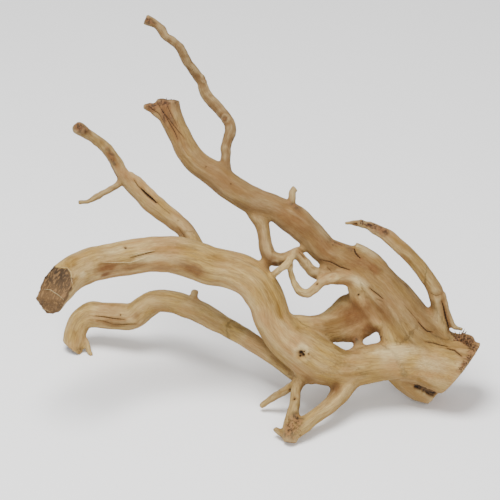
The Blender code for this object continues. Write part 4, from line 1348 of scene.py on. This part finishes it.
torn_fibre = torn_wood("torn_fibre", TORN_LIGHT, TORN_DARK)
pale_splinter = torn_wood("pale_splinter", TAN, GREY)
dry_bark = torn_wood("dry_bark", BARK_LIGHT, BARK_DARK)

# Each tuft: its name and finish, the pixels that its patch runs between and the patch's half
# width, the way it leans on the sheet, how many fibres, the lengths and radii in millimetres, and
# how far they spread. The seeds of the random draws count up from the first one.
TUFTS = [
    ("stump_shards", torn_fibre, ((456, 338), (469, 344), 2.0), (0.75, 0.45, 0.1),
     26, (5.0, 9.5), (0.8, 1.7), 0.35),
    ("stump_fibres", torn_fibre, ((455, 337), (471, 346), 2.5), (0.45, 0.85, 0.2),
     90, (2.5, 7.0), (0.2, 0.45), 0.45),
    ("front_foot_fibres", torn_fibre, ((290, 420), (296, 434), 5.0), (-0.2, -0.2, 0.9),
     90, (1.2, 3.2), (0.25, 0.5), 0.6),
    ("leg_fibres", pale_splinter, ((76, 349), (79, 351), 1.0), (0.5, -0.7, 0.0),
     14, (1.5, 4.0), (0.15, 0.3), 0.4),
    ("window_fibres", torn_fibre, ((378, 336), (382, 340), 1.0), (-0.4, 0.2, 0.7),
     16, (1.2, 3.0), (0.15, 0.3), 0.5),
    ("bark_flakes", dry_bark, ((360, 221), (388, 231), 1.6), (0.5, 0.7, 0.3),
     60, (1.0, 2.6), (0.3, 0.8), 0.6),
    ("mast_splinters", dry_bark, ((157, 103), (177, 100), 2.0), (0.05, 1.0, 0.1),
     40, (1.2, 3.0), (0.25, 0.6), 0.35),
    ("lip_splinters", dry_bark, ((144, 107), (156, 105), 1.6), (-0.9, 0.2, 0.2),
     26, (1.2, 2.8), (0.3, 0.6), 0.4),
    ("fork_curl", dry_bark, ((77, 125), (86, 132), 2.0), (-0.5, 0.5, 0.6),
     40, (1.0, 2.4), (0.4, 0.9), 0.6),
    ("rim_fibres", torn_fibre, ((477, 345), (461, 370), 1.8), (0.8, -0.4, 0.3),
     90, (1.2, 3.2), (0.25, 0.55), 0.5),
    ("edge_flakes", dry_bark, ((322, 240), (352, 249), 1.2), (0.4, 0.9, 0.2),
     34, (0.8, 1.8), (0.25, 0.5), 0.5),
]
FIRST_SEED = 11
for seed, (name, material, patch, lean, *fibres) in enumerate(TUFTS, FIRST_SEED):
    tuft(name, material, patch, sheet_way(*lean), *fibres, seed)

# %% [markdown]
# The floor is plain and pale, and the light is soft and from above, as in a product photo: a wide
# lamp overhead, a weaker one from the front, and a bright, even surround.

# %% Set the floor and the light
FLOOR_TONE, FLOOR_HALF = 0.94, 6.0
LAMP_TARGET = (0.0, 0.0, 0.1)
SURROUND_STRENGTH = 0.66


def floor():
    finish = Finish("pale_floor")
    finish.shader.inputs["Base Color"].default_value = (FLOOR_TONE, FLOOR_TONE, FLOOR_TONE, 1.0)
    finish.shader.inputs["Roughness"].default_value = 0.9
    bm = bmesh.new()
    bmesh.ops.create_grid(bm, x_segments=1, y_segments=1, size=FLOOR_HALF)
    mesh = as_mesh("floor", bm)
    mesh.materials.append(finish.material)
    placed("floor", mesh)


def soft_lamp(name, place, size, watts):
    """A round lamp of this size in metres that points at the wood."""
    data = bpy.data.lights.new(name, "AREA")
    data.shape, data.size, data.energy = "DISK", size, watts
    lamp = placed(name, data)
    lamp.location = place
    way = Vector(LAMP_TARGET) - Vector(place)
    lamp.rotation_euler = way.to_track_quat("-Z", "Y").to_euler()


floor()
soft_lamp("overhead", place=(-0.25, -0.2, 1.3), size=0.7, watts=27.0)
soft_lamp("front", place=(0.3, -1.5, 0.8), size=0.8, watts=12.0)
surround = bpy.data.worlds.new("surround")
surround.use_nodes = True
surround.node_tree.nodes["Background"].inputs["Color"].default_value = (1.0, 1.0, 1.0, 1.0)
surround.node_tree.nodes["Background"].inputs["Strength"].default_value = SURROUND_STRENGTH
bpy.context.scene.world = surround
